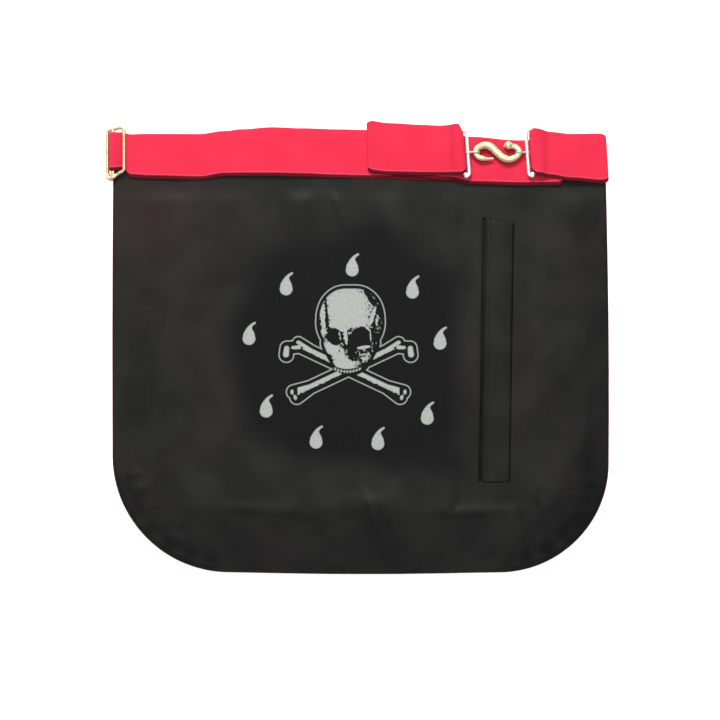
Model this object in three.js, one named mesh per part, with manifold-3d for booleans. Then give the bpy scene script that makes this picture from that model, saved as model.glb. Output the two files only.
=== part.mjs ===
// A black satin regalia apron, lying face down with its red webbing belt folded back over it.
// Millimetres, +Z up. Seen from above, +X is to the right and +Y is towards the belt.
// The origin is under the middle of the whole piece, on the surface that it lies on.

import * as THREE from 'three';
import { mergeVertices } from 'three/addons/utils/BufferGeometryUtils.js';
import Module from 'manifold-3d';

const wasm = await Module();
wasm.setup();

// Clearance between pieces that touch
const GAP = 0.3;

// Cloth body: a red facing below and a black panel above it
const APRON_WIDTH = 404.5;
const APRON_HEIGHT = 350.8;
const LEFT_CORNER_RADIUS = 95;
const RIGHT_CORNER_RADIUS = 88;
const LEFT_BOW = 0.8;
const RIGHT_BOW = 1.8;
const RIGHT_TAPER = 1.8;
const HEM_BOW = 1.5;
const FACING_THICKNESS = 1.2;
const PANEL_THICKNESS = 1.2;
const FACING_SHOW = 0.6;
const CLOTH_COLUMNS = 26;
const CORNER_ROWS = 8;
const UPPER_ROWS = 15;

// Glove pocket in the black panel: a tall window with a welt strip in it
const POCKET_WIDTH = 26.5;
const POCKET_HEIGHT = 216;
const POCKET_RIGHT_INSET = 90.6;
const POCKET_ABOVE_HEM = 72.8;
const POCKET_LEAN = 3.2;
const POCKET_MOUTH = 1.2;
const WELT_THICKNESS = 1.5;
const WELT_FOLD = 6;
const FLAT_MARGIN = 26;

// Emblem: a thin transfer print, a skull over crossed bones in a ring of nine tears
const EMBLEM_X = -10.8;
const EMBLEM_ABOVE_HEM = 173.8;
const TEAR_RING_RADIUS = 77;
const TEAR_LENGTH = 18;
const TEAR_WIDTH = 10.5;
const TEAR_LEAN = 12;
const SKULL_WIDTH = 52;
const SKULL_HEIGHT = 70;
const SKULL_RAISE = 24;
const SKULL_SHIFT = 2.8;
const SKULL_HALO = 1.06;
const BONE_LENGTH = 111;
const BONE_WIDTH = 6.4;
const BONE_KNOB_RADIUS = 5.4;
const BONE_ANGLE = 22;
const BONE_CLEARANCE = 0.64;
const PRINT_THICKNESS = 0.2;
const PRINT_MARGIN = 10;

// Belt webbing
const WEB_WIDTH = 40;
const WEB_THICKNESS = 1.3;
const WEB_STEP = 11;
const FOLD_RADIUS = 1.2;
const BELT_BELOW_TOP = 9;
const LEFT_SEWN_LENGTH = 46;
const RIGHT_SEWN_LENGTH = 20;
const FIRST_FOLD_INSET = 36.2;
const SECOND_FOLD_INSET = 196;
const RIGHT_OVERHANG = 0.3;
const TAB_LENGTH = 10;
const TAB_FALL = 8;
const FOLD_RUN = 12;
const BEFORE_TURN = 2;
const AFTER_TURN = 3;
const SHORT_RISE_INSET = 4;
const TURN_STEPS = 6;

// Slider at the left corner: a bent wire frame with a middle bar
const SLIDER_WIRE = 2.8;
const SLIDER_LEFT_HEIGHT = 40;
const SLIDER_RIGHT_HEIGHT = 36.5;
const SLIDER_LEFT_BAR = 4.9;
const SLIDER_RIGHT_BAR = 9.3;
const SLIDER_INSET = -0.2;
const SLIDER_SKEW = 3.6;
const SLIDER_CORNER = 3;
const SLIDER_RAISE = 1.7;

// Snake clasp: two wire loops with an eye each, and the hook between them
const LOOP_WIRE = 3;
const LOOP_HEIGHT = 37.8;
const LOOP_BAR_SPACING = 7.4;
const LOOP_CORNER = 3.2;
const LOOP_SKEW = 2;
const LOOP_LEAN = 4.2;
const LOOP_DROP = 0.8;
const LOOP_PASS_WIDTH = 0.79;
const CLASP_RIGHT_INSET = 90;
const CLASP_RAISE = 1.7;
const EYE_WIRE = 1.6;
const EYE_REACH = 6.3;
const HOOK_LENGTH = 36;
const HOOK_HEIGHT = 11.4;
const HOOK_WIRE = 5.4;
const HOOK_CURL_WIRE = 4;

const BLACK_SATIN = { color: 0x2a2a28, roughness: 0.45, metalness: 0 };
const RED_SATIN = { color: 0x8c1526, roughness: 0.45, metalness: 0 };
const RED_WEBBING = { color: 0xe52444, roughness: 0.7, metalness: 0 };
const PRINT_INK = { color: 0xbcbfba, roughness: 0.6, metalness: 0 };
const GILT = { color: 0xd8a848, roughness: 0.25, metalness: 1 };
const NICKEL = { color: 0xe9e4de, roughness: 0.2, metalness: 1 };

// Levels and places worked out from the sizes above
const leftEdge = -APRON_WIDTH / 2;
const rightEdge = APRON_WIDTH / 2;
const hemY = -APRON_HEIGHT / 2;
const topY = APRON_HEIGHT / 2;
const panelLow = FACING_THICKNESS + GAP;
const panelTop = panelLow + PANEL_THICKNESS;
const layerStep = WEB_THICKNESS + GAP;
const firstLayer = panelTop + GAP + WEB_THICKNESS / 2;
const secondLayer = firstLayer + layerStep;
const tabLayer = secondLayer + layerStep;
const overTab = tabLayer + layerStep;
const beltY = topY - BELT_BELOW_TOP;
const eyeHalfHeight = HOOK_CURL_WIRE / 2 + GAP + EYE_WIRE / 2;
const claspLevel = secondLayer + WEB_THICKNESS / 2 + GAP + eyeHalfHeight + EYE_WIRE / 2;
const claspX = rightEdge - CLASP_RIGHT_INSET;
const claspY = beltY + CLASP_RAISE;
const claspHalf = HOOK_LENGTH / 2 + EYE_REACH;

const radians = THREE.MathUtils.degToRad;
const lerp = THREE.MathUtils.lerp;
const smooth = THREE.MathUtils.smoothstep;

// Soft folds of the cloth. x and along are shares of the width, y of the height; rise is in mm.
const FOLDS = [
  { x: 0.02, y: 0.152, turn: 1, along: 0.3, across: 0.03, rise: 1.3 },
  { x: 0.045, y: 0.09, turn: -66, along: 0.09, across: 0.035, rise: 2.4 },
  { x: -0.05, y: 0.06, turn: 82, along: 0.08, across: 0.05, rise: 1.2 },
  { x: 0.3, y: 0.07, turn: 62, along: 0.09, across: 0.035, rise: 2.2 },
  { x: 0.4, y: 0.2, turn: 70, along: 0.12, across: 0.035, rise: 2 },
  { x: 0.42, y: 0.5, turn: 58, along: 0.1, across: 0.035, rise: 1.6 },
  { x: 0.43, y: 0.8, turn: 85, along: 0.12, across: 0.04, rise: 1.5 },
  { x: -0.4, y: 0.42, turn: 88, along: 0.25, across: 0.05, rise: 1.6 },
  { x: -0.33, y: 0.17, turn: -42, along: 0.12, across: 0.04, rise: 2 },
  { x: -0.12, y: 0.86, turn: 78, along: 0.06, across: 0.035, rise: 1.5 },
  { x: 0.06, y: 0.86, turn: -75, along: 0.06, across: 0.035, rise: 1.6 },
  { x: -0.38, y: 0.8, turn: 55, along: 0.1, across: 0.045, rise: 1.4 },
];

// Height of the cloth above its lowest level. It lies flat under the print, the pocket and the belt.
function relief(x, y) {
  let height = 0;
  for (const fold of FOLDS) {
    const dx = x - fold.x * APRON_WIDTH;
    const dy = y - hemY - fold.y * APRON_HEIGHT;
    const angle = radians(fold.turn);
    const along = (dx * Math.cos(angle) + dy * Math.sin(angle)) / (fold.along * APRON_WIDTH);
    const across = (dy * Math.cos(angle) - dx * Math.sin(angle)) / (fold.across * APRON_WIDTH);
    height += fold.rise * Math.exp(-along * along - across * across);
  }
  return height * freeOfPocket(x, y) * freeOfPrint(x, y) * freeOfBelt(y);
}

function freeOfPocket(x, y) {
  const beyondX = Math.abs(x - pocketMiddle(y)) - POCKET_WIDTH / 2;
  const beyondY = Math.abs(y - pocketY) - POCKET_HEIGHT / 2;
  return smooth(Math.max(beyondX, beyondY), FLAT_MARGIN / 2, FLAT_MARGIN);
}

function freeOfPrint(x, y) {
  const flatRadius = TEAR_RING_RADIUS + TEAR_LENGTH / 2 + PRINT_MARGIN;
  const distance = Math.hypot(x - EMBLEM_X, y - emblemY);
  return smooth(distance, flatRadius, flatRadius + FLAT_MARGIN);
}

function freeOfBelt(y) {
  return 1 - smooth(y, beltY - WEB_WIDTH / 2 - FLAT_MARGIN, beltY - WEB_WIDTH / 2 - FLAT_MARGIN / 4);
}

const pocketY = hemY + POCKET_ABOVE_HEM + POCKET_HEIGHT / 2;
const pocketX = rightEdge - POCKET_RIGHT_INSET;
const emblemY = hemY + EMBLEM_ABOVE_HEM;

function pocketMiddle(y) {
  return pocketX + (POCKET_LEAN * (y - pocketY)) / POCKET_HEIGHT;
}

// A closed triangle mesh from a flat list of points and triangles
function solidGeometry(points, triangles) {
  const geometry = new THREE.BufferGeometry();
  geometry.setAttribute('position', new THREE.Float32BufferAttribute(points, 3));
  geometry.setIndex(triangles);
  geometry.computeVertexNormals();
  return geometry;
}

function toManifold(geometry) {
  const bare = geometry.clone();
  bare.deleteAttribute('normal');
  bare.deleteAttribute('uv');
  const merged = mergeVertices(bare, 1e-4);
  const vertProperties = new Float32Array(merged.attributes.position.array);
  const triVerts = new Uint32Array(merged.index.array);
  return new wasm.Manifold(new wasm.Mesh({ numProp: 3, vertProperties, triVerts }));
}

function fromManifold(solid) {
  const mesh = solid.getMesh();
  return solidGeometry(Array.from(mesh.vertProperties), Array.from(mesh.triVerts));
}

// A solid lofted through rings of equal length, closed at its ends or on itself
function loft(rings, closed) {
  const sides = rings[0].length;
  const points = rings.flatMap((ring) => ring.flatMap((p) => [p.x, p.y, p.z]));
  const triangles = [];
  const spans = closed ? rings.length : rings.length - 1;
  for (let i = 0; i < spans; i += 1) {
    const here = i * sides;
    const next = ((i + 1) % rings.length) * sides;
    for (let j = 0; j < sides; j += 1) {
      const k = (j + 1) % sides;
      triangles.push(here + j, here + k, next + k, here + j, next + k, next + j);
    }
  }
  if (!closed) {
    const last = (rings.length - 1) * sides;
    for (let j = 1; j < sides - 1; j += 1) {
      triangles.push(0, j + 1, j, last, last + j, last + j + 1);
    }
  }
  return solidGeometry(points, triangles);
}

// Round wire along a flat path in the XY plane, with its radius given along the path
function flatWire(path, radiusAt, sides, closed) {
  const count = path.length;
  const rings = path.map((point, i) => {
    const before = closed ? path[(i + count - 1) % count] : path[Math.max(i - 1, 0)];
    const after = closed ? path[(i + 1) % count] : path[Math.min(i + 1, count - 1)];
    const across = new THREE.Vector2(before.y - after.y, after.x - before.x).normalize();
    const radius = radiusAt(i / (count - 1));
    return Array.from({ length: sides }, (_, j) => {
      const angle = (2 * Math.PI * j) / sides;
      const out = radius * Math.cos(angle);
      return new THREE.Vector3(point.x + out * across.x, point.y + out * across.y, radius * Math.sin(angle));
    });
  });
  return loft(rings, closed);
}

// Middle line of a rounded frame with its own height at each side, its right side raised by skew
function framePath(width, leftHeight, rightHeight, corner, skew) {
  const arcSteps = 5;
  const right = width / 2 - corner;
  const corners = [
    { x: right, y: (rightHeight + skew) / 2 - corner, start: 0 },
    { x: -right, y: (leftHeight - skew) / 2 - corner, start: 90 },
    { x: -right, y: -(leftHeight + skew) / 2 + corner, start: 180 },
    { x: right, y: -(rightHeight - skew) / 2 + corner, start: 270 },
  ];
  return corners.flatMap(({ x, y, start }) =>
    Array.from({ length: arcSteps }, (_, i) => {
      const angle = radians(start + (90 * i) / (arcSteps - 1));
      return new THREE.Vector2(x + corner * Math.cos(angle), y + corner * Math.sin(angle));
    }),
  );
}

function insetAt(radius, aboveHem) {
  if (aboveHem >= radius) return 0;
  const drop = radius - aboveHem;
  return radius - Math.sqrt(Math.max(radius * radius - drop * drop, 0));
}

// Rows of points across the apron's outline, from the hem up. Only the border moves out by outset.
function clothRows(outset) {
  const largest = Math.max(LEFT_CORNER_RADIUS, RIGHT_CORNER_RADIUS);
  const heights = [];
  for (let i = 0; i < CORNER_ROWS; i += 1) {
    heights.push(largest * (1 - Math.cos((Math.PI / 2) * (i / CORNER_ROWS))));
  }
  for (let i = 0; i <= UPPER_ROWS; i += 1) {
    heights.push(lerp(largest, APRON_HEIGHT, i / UPPER_ROWS));
  }
  return heights.map((aboveHem, row) => {
    const bulge = Math.sin((Math.PI * aboveHem) / APRON_HEIGHT);
    const left = leftEdge - LEFT_BOW * bulge + insetAt(LEFT_CORNER_RADIUS, aboveHem);
    const taper = RIGHT_TAPER * (aboveHem / APRON_HEIGHT) ** 2;
    const right = rightEdge + RIGHT_BOW * bulge - taper - insetAt(RIGHT_CORNER_RADIUS, aboveHem);
    const hem = 1 - smooth(aboveHem, 0, largest);
    const leftWay = outwards(-1, LEFT_CORNER_RADIUS, aboveHem);
    const rightWay = outwards(1, RIGHT_CORNER_RADIUS, aboveHem);
    return Array.from({ length: CLOTH_COLUMNS + 1 }, (_, column) => {
      const share = column / CLOTH_COLUMNS;
      const sag = HEM_BOW * Math.sin(Math.PI * share) * hem;
      const point = new THREE.Vector2(lerp(left, right, share), hemY + aboveHem - sag);
      if (column === 0) point.addScaledVector(leftWay, outset);
      else if (column === CLOTH_COLUMNS) point.addScaledVector(rightWay, outset);
      else if (row === 0) point.y -= outset;
      if (row === heights.length - 1) point.y += outset;
      return point;
    });
  });
}

// Direction out of the outline at a side, which turns downwards round the lower corner
function outwards(side, radius, aboveHem) {
  const down = Math.max(0, 1 - aboveHem / radius);
  return new THREE.Vector2(side * Math.sqrt(1 - down * down), -down);
}

// A sheet of cloth as a closed solid: each ring goes out along the top and back along the underside.
// Both sheets take their relief from the same grid, so that they nest.
function clothSolid(outset, low, thickness) {
  const lifts = clothRows(0).map((row) => row.map((p) => relief(p.x, p.y)));
  const rings = clothRows(outset).map((row, i) => {
    const under = row.map((p, j) => new THREE.Vector3(p.x, p.y, low + lifts[i][j]));
    const over = row.map((p, j) => new THREE.Vector3(p.x, p.y, low + thickness + lifts[i][j]));
    return [...over, ...under.reverse()];
  });
  return clothLoft(rings, CLOTH_COLUMNS + 1);
}

// As loft, with end walls made of the same columns as the cloth. Its faces split along the same
// diagonals above and below, so that sheets laid over each other keep their clearance.
function clothLoft(rings, columns) {
  const sides = rings[0].length;
  const points = rings.flatMap((ring) => ring.flatMap((p) => [p.x, p.y, p.z]));
  const triangles = [];
  for (let i = 0; i < rings.length - 1; i += 1) {
    const here = i * sides;
    const next = here + sides;
    for (let j = 0; j < sides; j += 1) {
      const k = (j + 1) % sides;
      if (j < columns) triangles.push(here + j, here + k, next + k, here + j, next + k, next + j);
      else triangles.push(here + j, here + k, next + j, here + k, next + k, next + j);
    }
  }
  const last = (rings.length - 1) * sides;
  for (let j = 0; j < columns - 1; j += 1) {
    const below = sides - 1 - j;
    triangles.push(j, below, below - 1, j, below - 1, j + 1);
    triangles.push(last + j, last + below - 1, last + below, last + j, last + j + 1, last + below - 1);
  }
  return solidGeometry(points, triangles);
}

// The pocket's window or its welt, as a leaning rectangle grown by margins on its long sides
function pocketOutline(leftMargin, rightMargin, endMargin) {
  const halfHeight = POCKET_HEIGHT / 2 + endMargin;
  const low = pocketY - halfHeight;
  const high = pocketY + halfHeight;
  return [
    new THREE.Vector2(pocketMiddle(low) - POCKET_WIDTH / 2 - leftMargin, low),
    new THREE.Vector2(pocketMiddle(low) + POCKET_WIDTH / 2 + rightMargin, low),
    new THREE.Vector2(pocketMiddle(high) + POCKET_WIDTH / 2 + rightMargin, high),
    new THREE.Vector2(pocketMiddle(high) - POCKET_WIDTH / 2 - leftMargin, high),
  ];
}

function backPanelGeometry() {
  const cloth = toManifold(clothSolid(0, panelLow, PANEL_THICKNESS));
  const depth = 4 * PANEL_THICKNESS;
  const cutter = new THREE.ExtrudeGeometry(new THREE.Shape(pocketOutline(0, 0, 0)), {
    depth,
    bevelEnabled: false,
  });
  cutter.translate(0, 0, panelLow + (PANEL_THICKNESS - depth) / 2);
  return fromManifold(cloth.subtract(toManifold(cutter)));
}

// The welt strip: its left edge is a doubled fold beside the pocket's mouth
function weltGeometry() {
  const halfLength = POCKET_HEIGHT / 2 - GAP;
  const left = -POCKET_WIDTH / 2 + POCKET_MOUTH;
  const right = POCKET_WIDTH / 2 - GAP;
  const low = panelLow;
  const high = low + WELT_THICKNESS;
  const profile = [
    [left, low + WELT_THICKNESS * 0.3],
    [left + WELT_THICKNESS * 0.3, low],
    [right, low],
    [right, low + PANEL_THICKNESS * 0.8],
    [left + WELT_FOLD, low + PANEL_THICKNESS],
    [left + WELT_FOLD * 0.6, high],
    [left + WELT_THICKNESS * 0.4, high],
    [left, low + WELT_THICKNESS * 0.7],
  ];
  const rings = [-1, -0.5, 0, 0.5, 1].map((end) => {
    const y = pocketY + end * halfLength;
    return profile.map(([x, z]) => new THREE.Vector3(pocketMiddle(y) + x, y, z));
  });
  return loft(rings.map((ring) => ring.reverse()), false);
}

// How far the webbing leans with the clasp loops at a place: fully at them, not at all away from them
function loopShare(x) {
  const outside = Math.abs(x - claspX) - (claspHalf + LOOP_BAR_SPACING);
  return 1 - smooth(outside, BEFORE_TURN, TAB_LENGTH);
}

// A strip of webbing: the path is a list of middles, each with a width share and a roll
function webbing(path) {
  const rings = path.map((point, i) => {
    const before = path[Math.max(i - 1, 0)];
    const after = path[Math.min(i + 1, path.length - 1)];
    const along = new THREE.Vector2(after.x - before.x, after.z - before.z).normalize();
    const normal = new THREE.Vector2(-along.y, along.x);
    const half = (WEB_WIDTH * point.width) / 2;
    const corners = [
      [-1, -1],
      [1, -1],
      [1, 1],
      [-1, 1],
    ];
    return corners.map(([side, face]) => {
      const out = (face * WEB_THICKNESS) / 2;
      const lift = -side * point.roll;
      const x = point.x + out * normal.x - side * half * loopShare(point.x) * Math.tan(radians(LOOP_LEAN));
      return new THREE.Vector3(x, point.y + side * half, point.z + out * normal.y + lift);
    });
  });
  return loft(rings, false);
}

// Points along a stretch from one x to another; the middle's y, z, width and roll are functions of x
function stretch(from, to, level, place) {
  const steps = Math.max(2, Math.round(Math.abs(to - from) / WEB_STEP));
  return Array.from({ length: steps + 1 }, (_, i) => {
    const x = lerp(from, to, i / steps);
    return { x, z: level(x), ...place(x) };
  });
}

// Points round a turn about (x, z); angles are degrees from +X towards +Z
function turn(x, z, radius, from, to, place) {
  return Array.from({ length: TURN_STEPS + 1 }, (_, i) => {
    const share = i / TURN_STEPS;
    const angle = radians(lerp(from, to, share));
    return { x: x + radius * Math.cos(angle), z: z + radius * Math.sin(angle), ...place(x, share) };
  });
}

// The webbing's place round a loop's hidden bar: it is squeezed to pass through the loop, within
// the first third of the turn. The loop's snake lies to its right where towards is 1.
function throughLoop(place, towards) {
  const lean = towards * LOOP_BAR_SPACING * Math.sin(radians(LOOP_LEAN));
  const y = claspY - LOOP_DROP + (LOOP_SKEW - lean) * (1 - loopTurn / LOOP_BAR_SPACING);
  return (x, share = 1) => {
    const free = place(x);
    const squeeze = smooth(share, 0, 1 / 3);
    return { ...free, y: lerp(free.y, y, squeeze), width: lerp(free.width, LOOP_PASS_WIDTH, squeeze) };
  };
}

// Reads a table of stations whose at is a share of the apron's width from its middle
function tablePlace(table) {
  return (x) => {
    const share = x / APRON_WIDTH;
    const found = table.findIndex((row) => row.at >= share);
    const next = table[found < 0 ? table.length - 1 : found];
    const before = table[found < 0 ? table.length - 1 : Math.max(found - 1, 0)];
    const span = next.at - before.at;
    const t = span > 0 ? smooth(share, before.at, next.at) : 0;
    return {
      y: beltY + lerp(before.offset, next.offset, t) * WEB_WIDTH,
      width: lerp(before.width, next.width, t),
      roll: lerp(before.roll, next.roll, t),
      rise: lerp(before.rise, next.rise, t),
    };
  };
}

// The belt's lowest run. offset is a share of the webbing's width; rise and roll are in mm.
const LOWER_RUN = [
  { at: -0.5, offset: 0.065, width: 0.79, roll: 0, rise: 0 },
  { at: -0.481, offset: 0.075, width: 0.77, roll: 0, rise: 0 },
  { at: -0.466, offset: -0.02, width: 0.885, roll: 0, rise: 0 },
  { at: -0.426, offset: -0.0275, width: 0.918, roll: 0, rise: 0.2 },
  { at: -0.325, offset: -0.0375, width: 0.94, roll: 0.2, rise: 0.6 },
  { at: -0.276, offset: 0.026, width: 0.93, roll: 0.4, rise: 1.6 },
  { at: -0.24, offset: 0.047, width: 0.96, roll: 0.5, rise: 2.2 },
  { at: -0.179, offset: 0.067, width: 1, roll: 0.7, rise: 2.6 },
  { at: -0.122, offset: 0.052, width: 0.994, roll: 0.5, rise: 1.8 },
  { at: -0.045, offset: 0.028, width: 1, roll: 0.2, rise: 0.5 },
  { at: 0.004, offset: 0.017, width: 1, roll: 0, rise: 0 },
  { at: 0.2225, offset: -0.112, width: 0.99, roll: 0, rise: 0 },
  { at: 0.328, offset: -0.165, width: 0.93, roll: 0, rise: 0 },
  { at: 0.405, offset: -0.145, width: 0.95, roll: 0, rise: 0 },
];

const MIDDLE_RUN = [
  { at: 0.013, offset: 0.157, width: 1.06, roll: 0, rise: 0 },
  { at: 0.1, offset: 0.05, width: 1, roll: 0, rise: 0 },
  { at: 0.2225, offset: -0.118, width: 0.98, roll: 0, rise: 0 },
  { at: 0.328, offset: -0.165, width: 0.93, roll: 0, rise: 0 },
  { at: 0.405, offset: -0.145, width: 0.95, roll: 0, rise: 0 },
];

const UPPER_RUN = [
  { at: 0.013, offset: 0.157, width: 1.06, roll: 0, rise: 0 },
  { at: 0.06, offset: 0.121, width: 1.06, roll: 0, rise: 0 },
  { at: 0.129, offset: 0.095, width: 1.035, roll: 0, rise: 0 },
  { at: 0.164, offset: 0.085, width: 1.02, roll: 0, rise: 0 },
  { at: 0.198, offset: 0.1, width: 1.05, roll: 0, rise: 0 },
];

const RIGHT_RUN = [
  { at: 0.358, offset: 0.052, width: 0.966, roll: 0, rise: 0 },
  { at: 0.383, offset: 0, width: 0.94, roll: 0, rise: 0 },
  { at: 0.427, offset: -0.055, width: 0.96, roll: 0, rise: 0 },
  { at: 0.486, offset: -0.072, width: 1.015, roll: 0, rise: 0 },
];

const sliderMiddleX = leftEdge + SLIDER_INSET;
const sliderTurn = SLIDER_WIRE / 2 + GAP + WEB_THICKNESS / 2;
const sliderLevel = firstLayer + sliderTurn;
const sliderRightLevel = secondLayer + WEB_THICKNESS / 2 + GAP + SLIDER_WIRE / 2 + GAP / 2;
const loopTurn = LOOP_WIRE / 2 + 2 * GAP + WEB_THICKNESS / 2;
const leftLoopBar = claspX - claspHalf - LOOP_BAR_SPACING;
const rightLoopBar = claspX + claspHalf + LOOP_BAR_SPACING;
const firstFoldX = rightEdge - FIRST_FOLD_INSET;
const secondFoldX = rightEdge - SECOND_FOLD_INSET;

// The long strap: sewn to the left corner, through the slider, right, back, and out to the clasp
function longStrapPath() {
  const lower = tablePlace(LOWER_RUN);
  const middle = tablePlace(MIDDLE_RUN);
  const upper = tablePlace(UPPER_RUN);
  const squeezed = throughLoop(upper, 1);
  const sewnEnd = leftEdge + LEFT_SEWN_LENGTH;
  const descent = 24;
  const underBar = sliderMiddleX + SLIDER_RIGHT_BAR - SLIDER_WIRE / 2;
  const afterFirst = firstFoldX - FOLD_RADIUS - AFTER_TURN;
  const afterSecond = secondFoldX + FOLD_RADIUS + AFTER_TURN;
  const lowerLevel = (x) =>
    lerp(secondLayer, firstLayer, smooth(x, sewnEnd + GAP, sewnEnd + 2 * WEB_STEP)) + lower(x).rise;
  const middleLevel = (x) =>
    lerp(secondLayer, firstLayer + 2 * FOLD_RADIUS, smooth(x, firstFoldX - FOLD_RADIUS - FOLD_RUN, firstFoldX));
  const upperLevel = (x) => {
    const low = secondLayer + 2 * FOLD_RADIUS;
    const flat = lerp(low, tabLayer, smooth(x, secondFoldX, secondFoldX + FOLD_RUN));
    const tabEnd = leftLoopBar - TAB_LENGTH;
    const raised = lerp(flat, overTab, smooth(x, tabEnd - FOLD_RUN, tabEnd - GAP));
    return lerp(raised, claspLevel + loopTurn, smooth(x, tabEnd - GAP, leftLoopBar - LOOP_WIRE));
  };
  return [
    ...stretch(sewnEnd, sliderMiddleX + BEFORE_TURN, () => firstLayer, lower),
    ...turn(sliderMiddleX, sliderLevel, sliderTurn, 270, 90 - descent, lower),
    ...stretch(underBar, sewnEnd, () => secondLayer, lower),
    ...stretch(sewnEnd + WEB_STEP / 2, firstFoldX - FOLD_RADIUS - BEFORE_TURN, lowerLevel, lower),
    ...turn(firstFoldX - FOLD_RADIUS, firstLayer + FOLD_RADIUS, FOLD_RADIUS, -90, 90, middle),
    ...stretch(afterFirst, afterSecond, middleLevel, middle),
    ...turn(secondFoldX + FOLD_RADIUS, secondLayer + FOLD_RADIUS, FOLD_RADIUS, 270, 90, upper),
    ...stretch(afterSecond, leftLoopBar - BEFORE_TURN, upperLevel, upper),
    ...turn(leftLoopBar, claspLevel, loopTurn, 90, -90, squeezed),
    ...stretch(leftLoopBar - AFTER_TURN, leftLoopBar - TAB_LENGTH, (x) => tabLevel(leftLoopBar - x), squeezed),
  ];
}

// The tab that comes back under a clasp loop, by its distance from the loop's bar
function tabLevel(distance) {
  return lerp(claspLevel - loopTurn, tabLayer, smooth(distance, 0, TAB_FALL));
}

// The short strap: sewn to the right corner, folded back, and out to the clasp
function shortStrapPath() {
  const place = tablePlace(RIGHT_RUN);
  const squeezed = throughLoop(place, -1);
  const foldX = rightEdge + RIGHT_OVERHANG - WEB_THICKNESS / 2;
  const radius = FOLD_RADIUS * 1.4;
  const tabEnd = rightLoopBar + TAB_LENGTH;
  const level = (x) => {
    const folded = smooth(x, firstFoldX + SHORT_RISE_INSET, foldX - radius);
    const high = lerp(overTab, firstLayer + 2 * radius, folded);
    return lerp(claspLevel + loopTurn, high, smooth(x, rightLoopBar + LOOP_WIRE, tabEnd + LOOP_WIRE));
  };
  return [
    ...stretch(rightEdge - RIGHT_SEWN_LENGTH, foldX - radius - BEFORE_TURN, () => firstLayer, place),
    ...turn(foldX - radius, firstLayer + radius, radius, -90, 90, place),
    ...stretch(foldX - radius - AFTER_TURN, rightLoopBar + BEFORE_TURN, level, place),
    ...turn(rightLoopBar, claspLevel, loopTurn, 90, 270, squeezed),
    ...stretch(rightLoopBar + AFTER_TURN, tabEnd, (x) => tabLevel(x - rightLoopBar), squeezed),
  ];
}

// Slider frame and its middle bar, in its own plane about the middle bar
function sliderGeometry() {
  const width = SLIDER_LEFT_BAR + SLIDER_RIGHT_BAR;
  const share = SLIDER_LEFT_BAR / width;
  const path = framePath(width, SLIDER_LEFT_HEIGHT, SLIDER_RIGHT_HEIGHT, SLIDER_CORNER, SLIDER_SKEW);
  const frame = flatWire(path, () => SLIDER_WIRE / 2, 8, true);
  frame.translate(SLIDER_RIGHT_BAR - width / 2, -SLIDER_SKEW * (share - 0.5), 0);
  const height = lerp(SLIDER_LEFT_HEIGHT, SLIDER_RIGHT_HEIGHT, share);
  const bar = new THREE.CylinderGeometry(SLIDER_WIRE / 2, SLIDER_WIRE / 2, height, 8);
  return fromManifold(toManifold(frame).add(toManifold(bar)));
}

// Clasp loop about its visible bar: its hidden bar lies away from the hook, its eye towards it
function claspLoopGeometry(towards) {
  const skew = -towards * LOOP_SKEW;
  const path = framePath(LOOP_BAR_SPACING, LOOP_HEIGHT, LOOP_HEIGHT, LOOP_CORNER, skew);
  const frame = flatWire(path, () => LOOP_WIRE / 2, 10, true);
  frame.translate((-towards * LOOP_BAR_SPACING) / 2, LOOP_SKEW / 2 - LOOP_DROP, 0);
  frame.rotateZ(radians(LOOP_LEAN));
  const arc = Array.from({ length: 9 }, (_, i) => {
    const angle = radians(lerp(-90, 90, i / 8));
    return new THREE.Vector2(EYE_REACH + eyeHalfHeight * Math.cos(angle), eyeHalfHeight * Math.sin(angle));
  });
  const rooted = [new THREE.Vector2(0, -eyeRoot), ...arc, new THREE.Vector2(0, eyeRoot)];
  const eye = flatWire(rooted, () => EYE_WIRE / 2, 8, false).rotateX(Math.PI / 2);
  if (towards < 0) eye.rotateY(Math.PI);
  return fromManifold(toManifold(frame).add(toManifold(eye)));
}

const eyeRoot = LOOP_WIRE / 2 - EYE_WIRE / 2;

// The hook's middle line from tail to head, as shares of half its length and height
const HOOK_LINE = [
  { x: -0.19, y: -0.88 },
  { x: -0.5, y: -0.92 },
  { x: -0.86, y: -0.66 },
  { x: -1, y: 0.04 },
  { x: -0.9, y: 0.66 },
  { x: -0.58, y: 1 },
  { x: -0.26, y: 0.66 },
  { x: 0, y: -0.1 },
  { x: 0.26, y: -0.75 },
  { x: 0.55, y: -1 },
  { x: 0.85, y: -0.62 },
  { x: 1, y: 0.06 },
  { x: 0.84, y: 0.7 },
  { x: 0.5, y: 0.96 },
  { x: 0.26, y: 0.9 },
];

function hookGeometry() {
  const points = HOOK_LINE.map((p) => new THREE.Vector3((p.x * HOOK_LENGTH) / 2, (p.y * HOOK_HEIGHT) / 2, 0));
  const curve = new THREE.CatmullRomCurve3(points);
  const path = curve.getSpacedPoints(48);
  const thin = HOOK_CURL_WIRE / 2;
  const thick = HOOK_WIRE / 2;
  const radius = (t) => {
    const body = thin + (thick - thin) * smooth(0.5 - Math.abs(t - 0.5), 0.22, 0.42);
    const tail = lerp(0.5, 1, smooth(t, 0, 0.14));
    const head = 1 + 0.35 * smooth(t, 0.88, 0.94) - 0.75 * smooth(t, 0.95, 1);
    return body * tail * head;
  };
  return flatWire(path, radius, 10, false);
}

// Flat print cut from a shape, lying on the panel
function printSolid(shape) {
  const geometry = new THREE.ExtrudeGeometry(shape, {
    depth: PRINT_THICKNESS,
    bevelEnabled: false,
    curveSegments: 8,
  });
  geometry.translate(0, 0, panelTop + GAP);
  return geometry;
}

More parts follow.
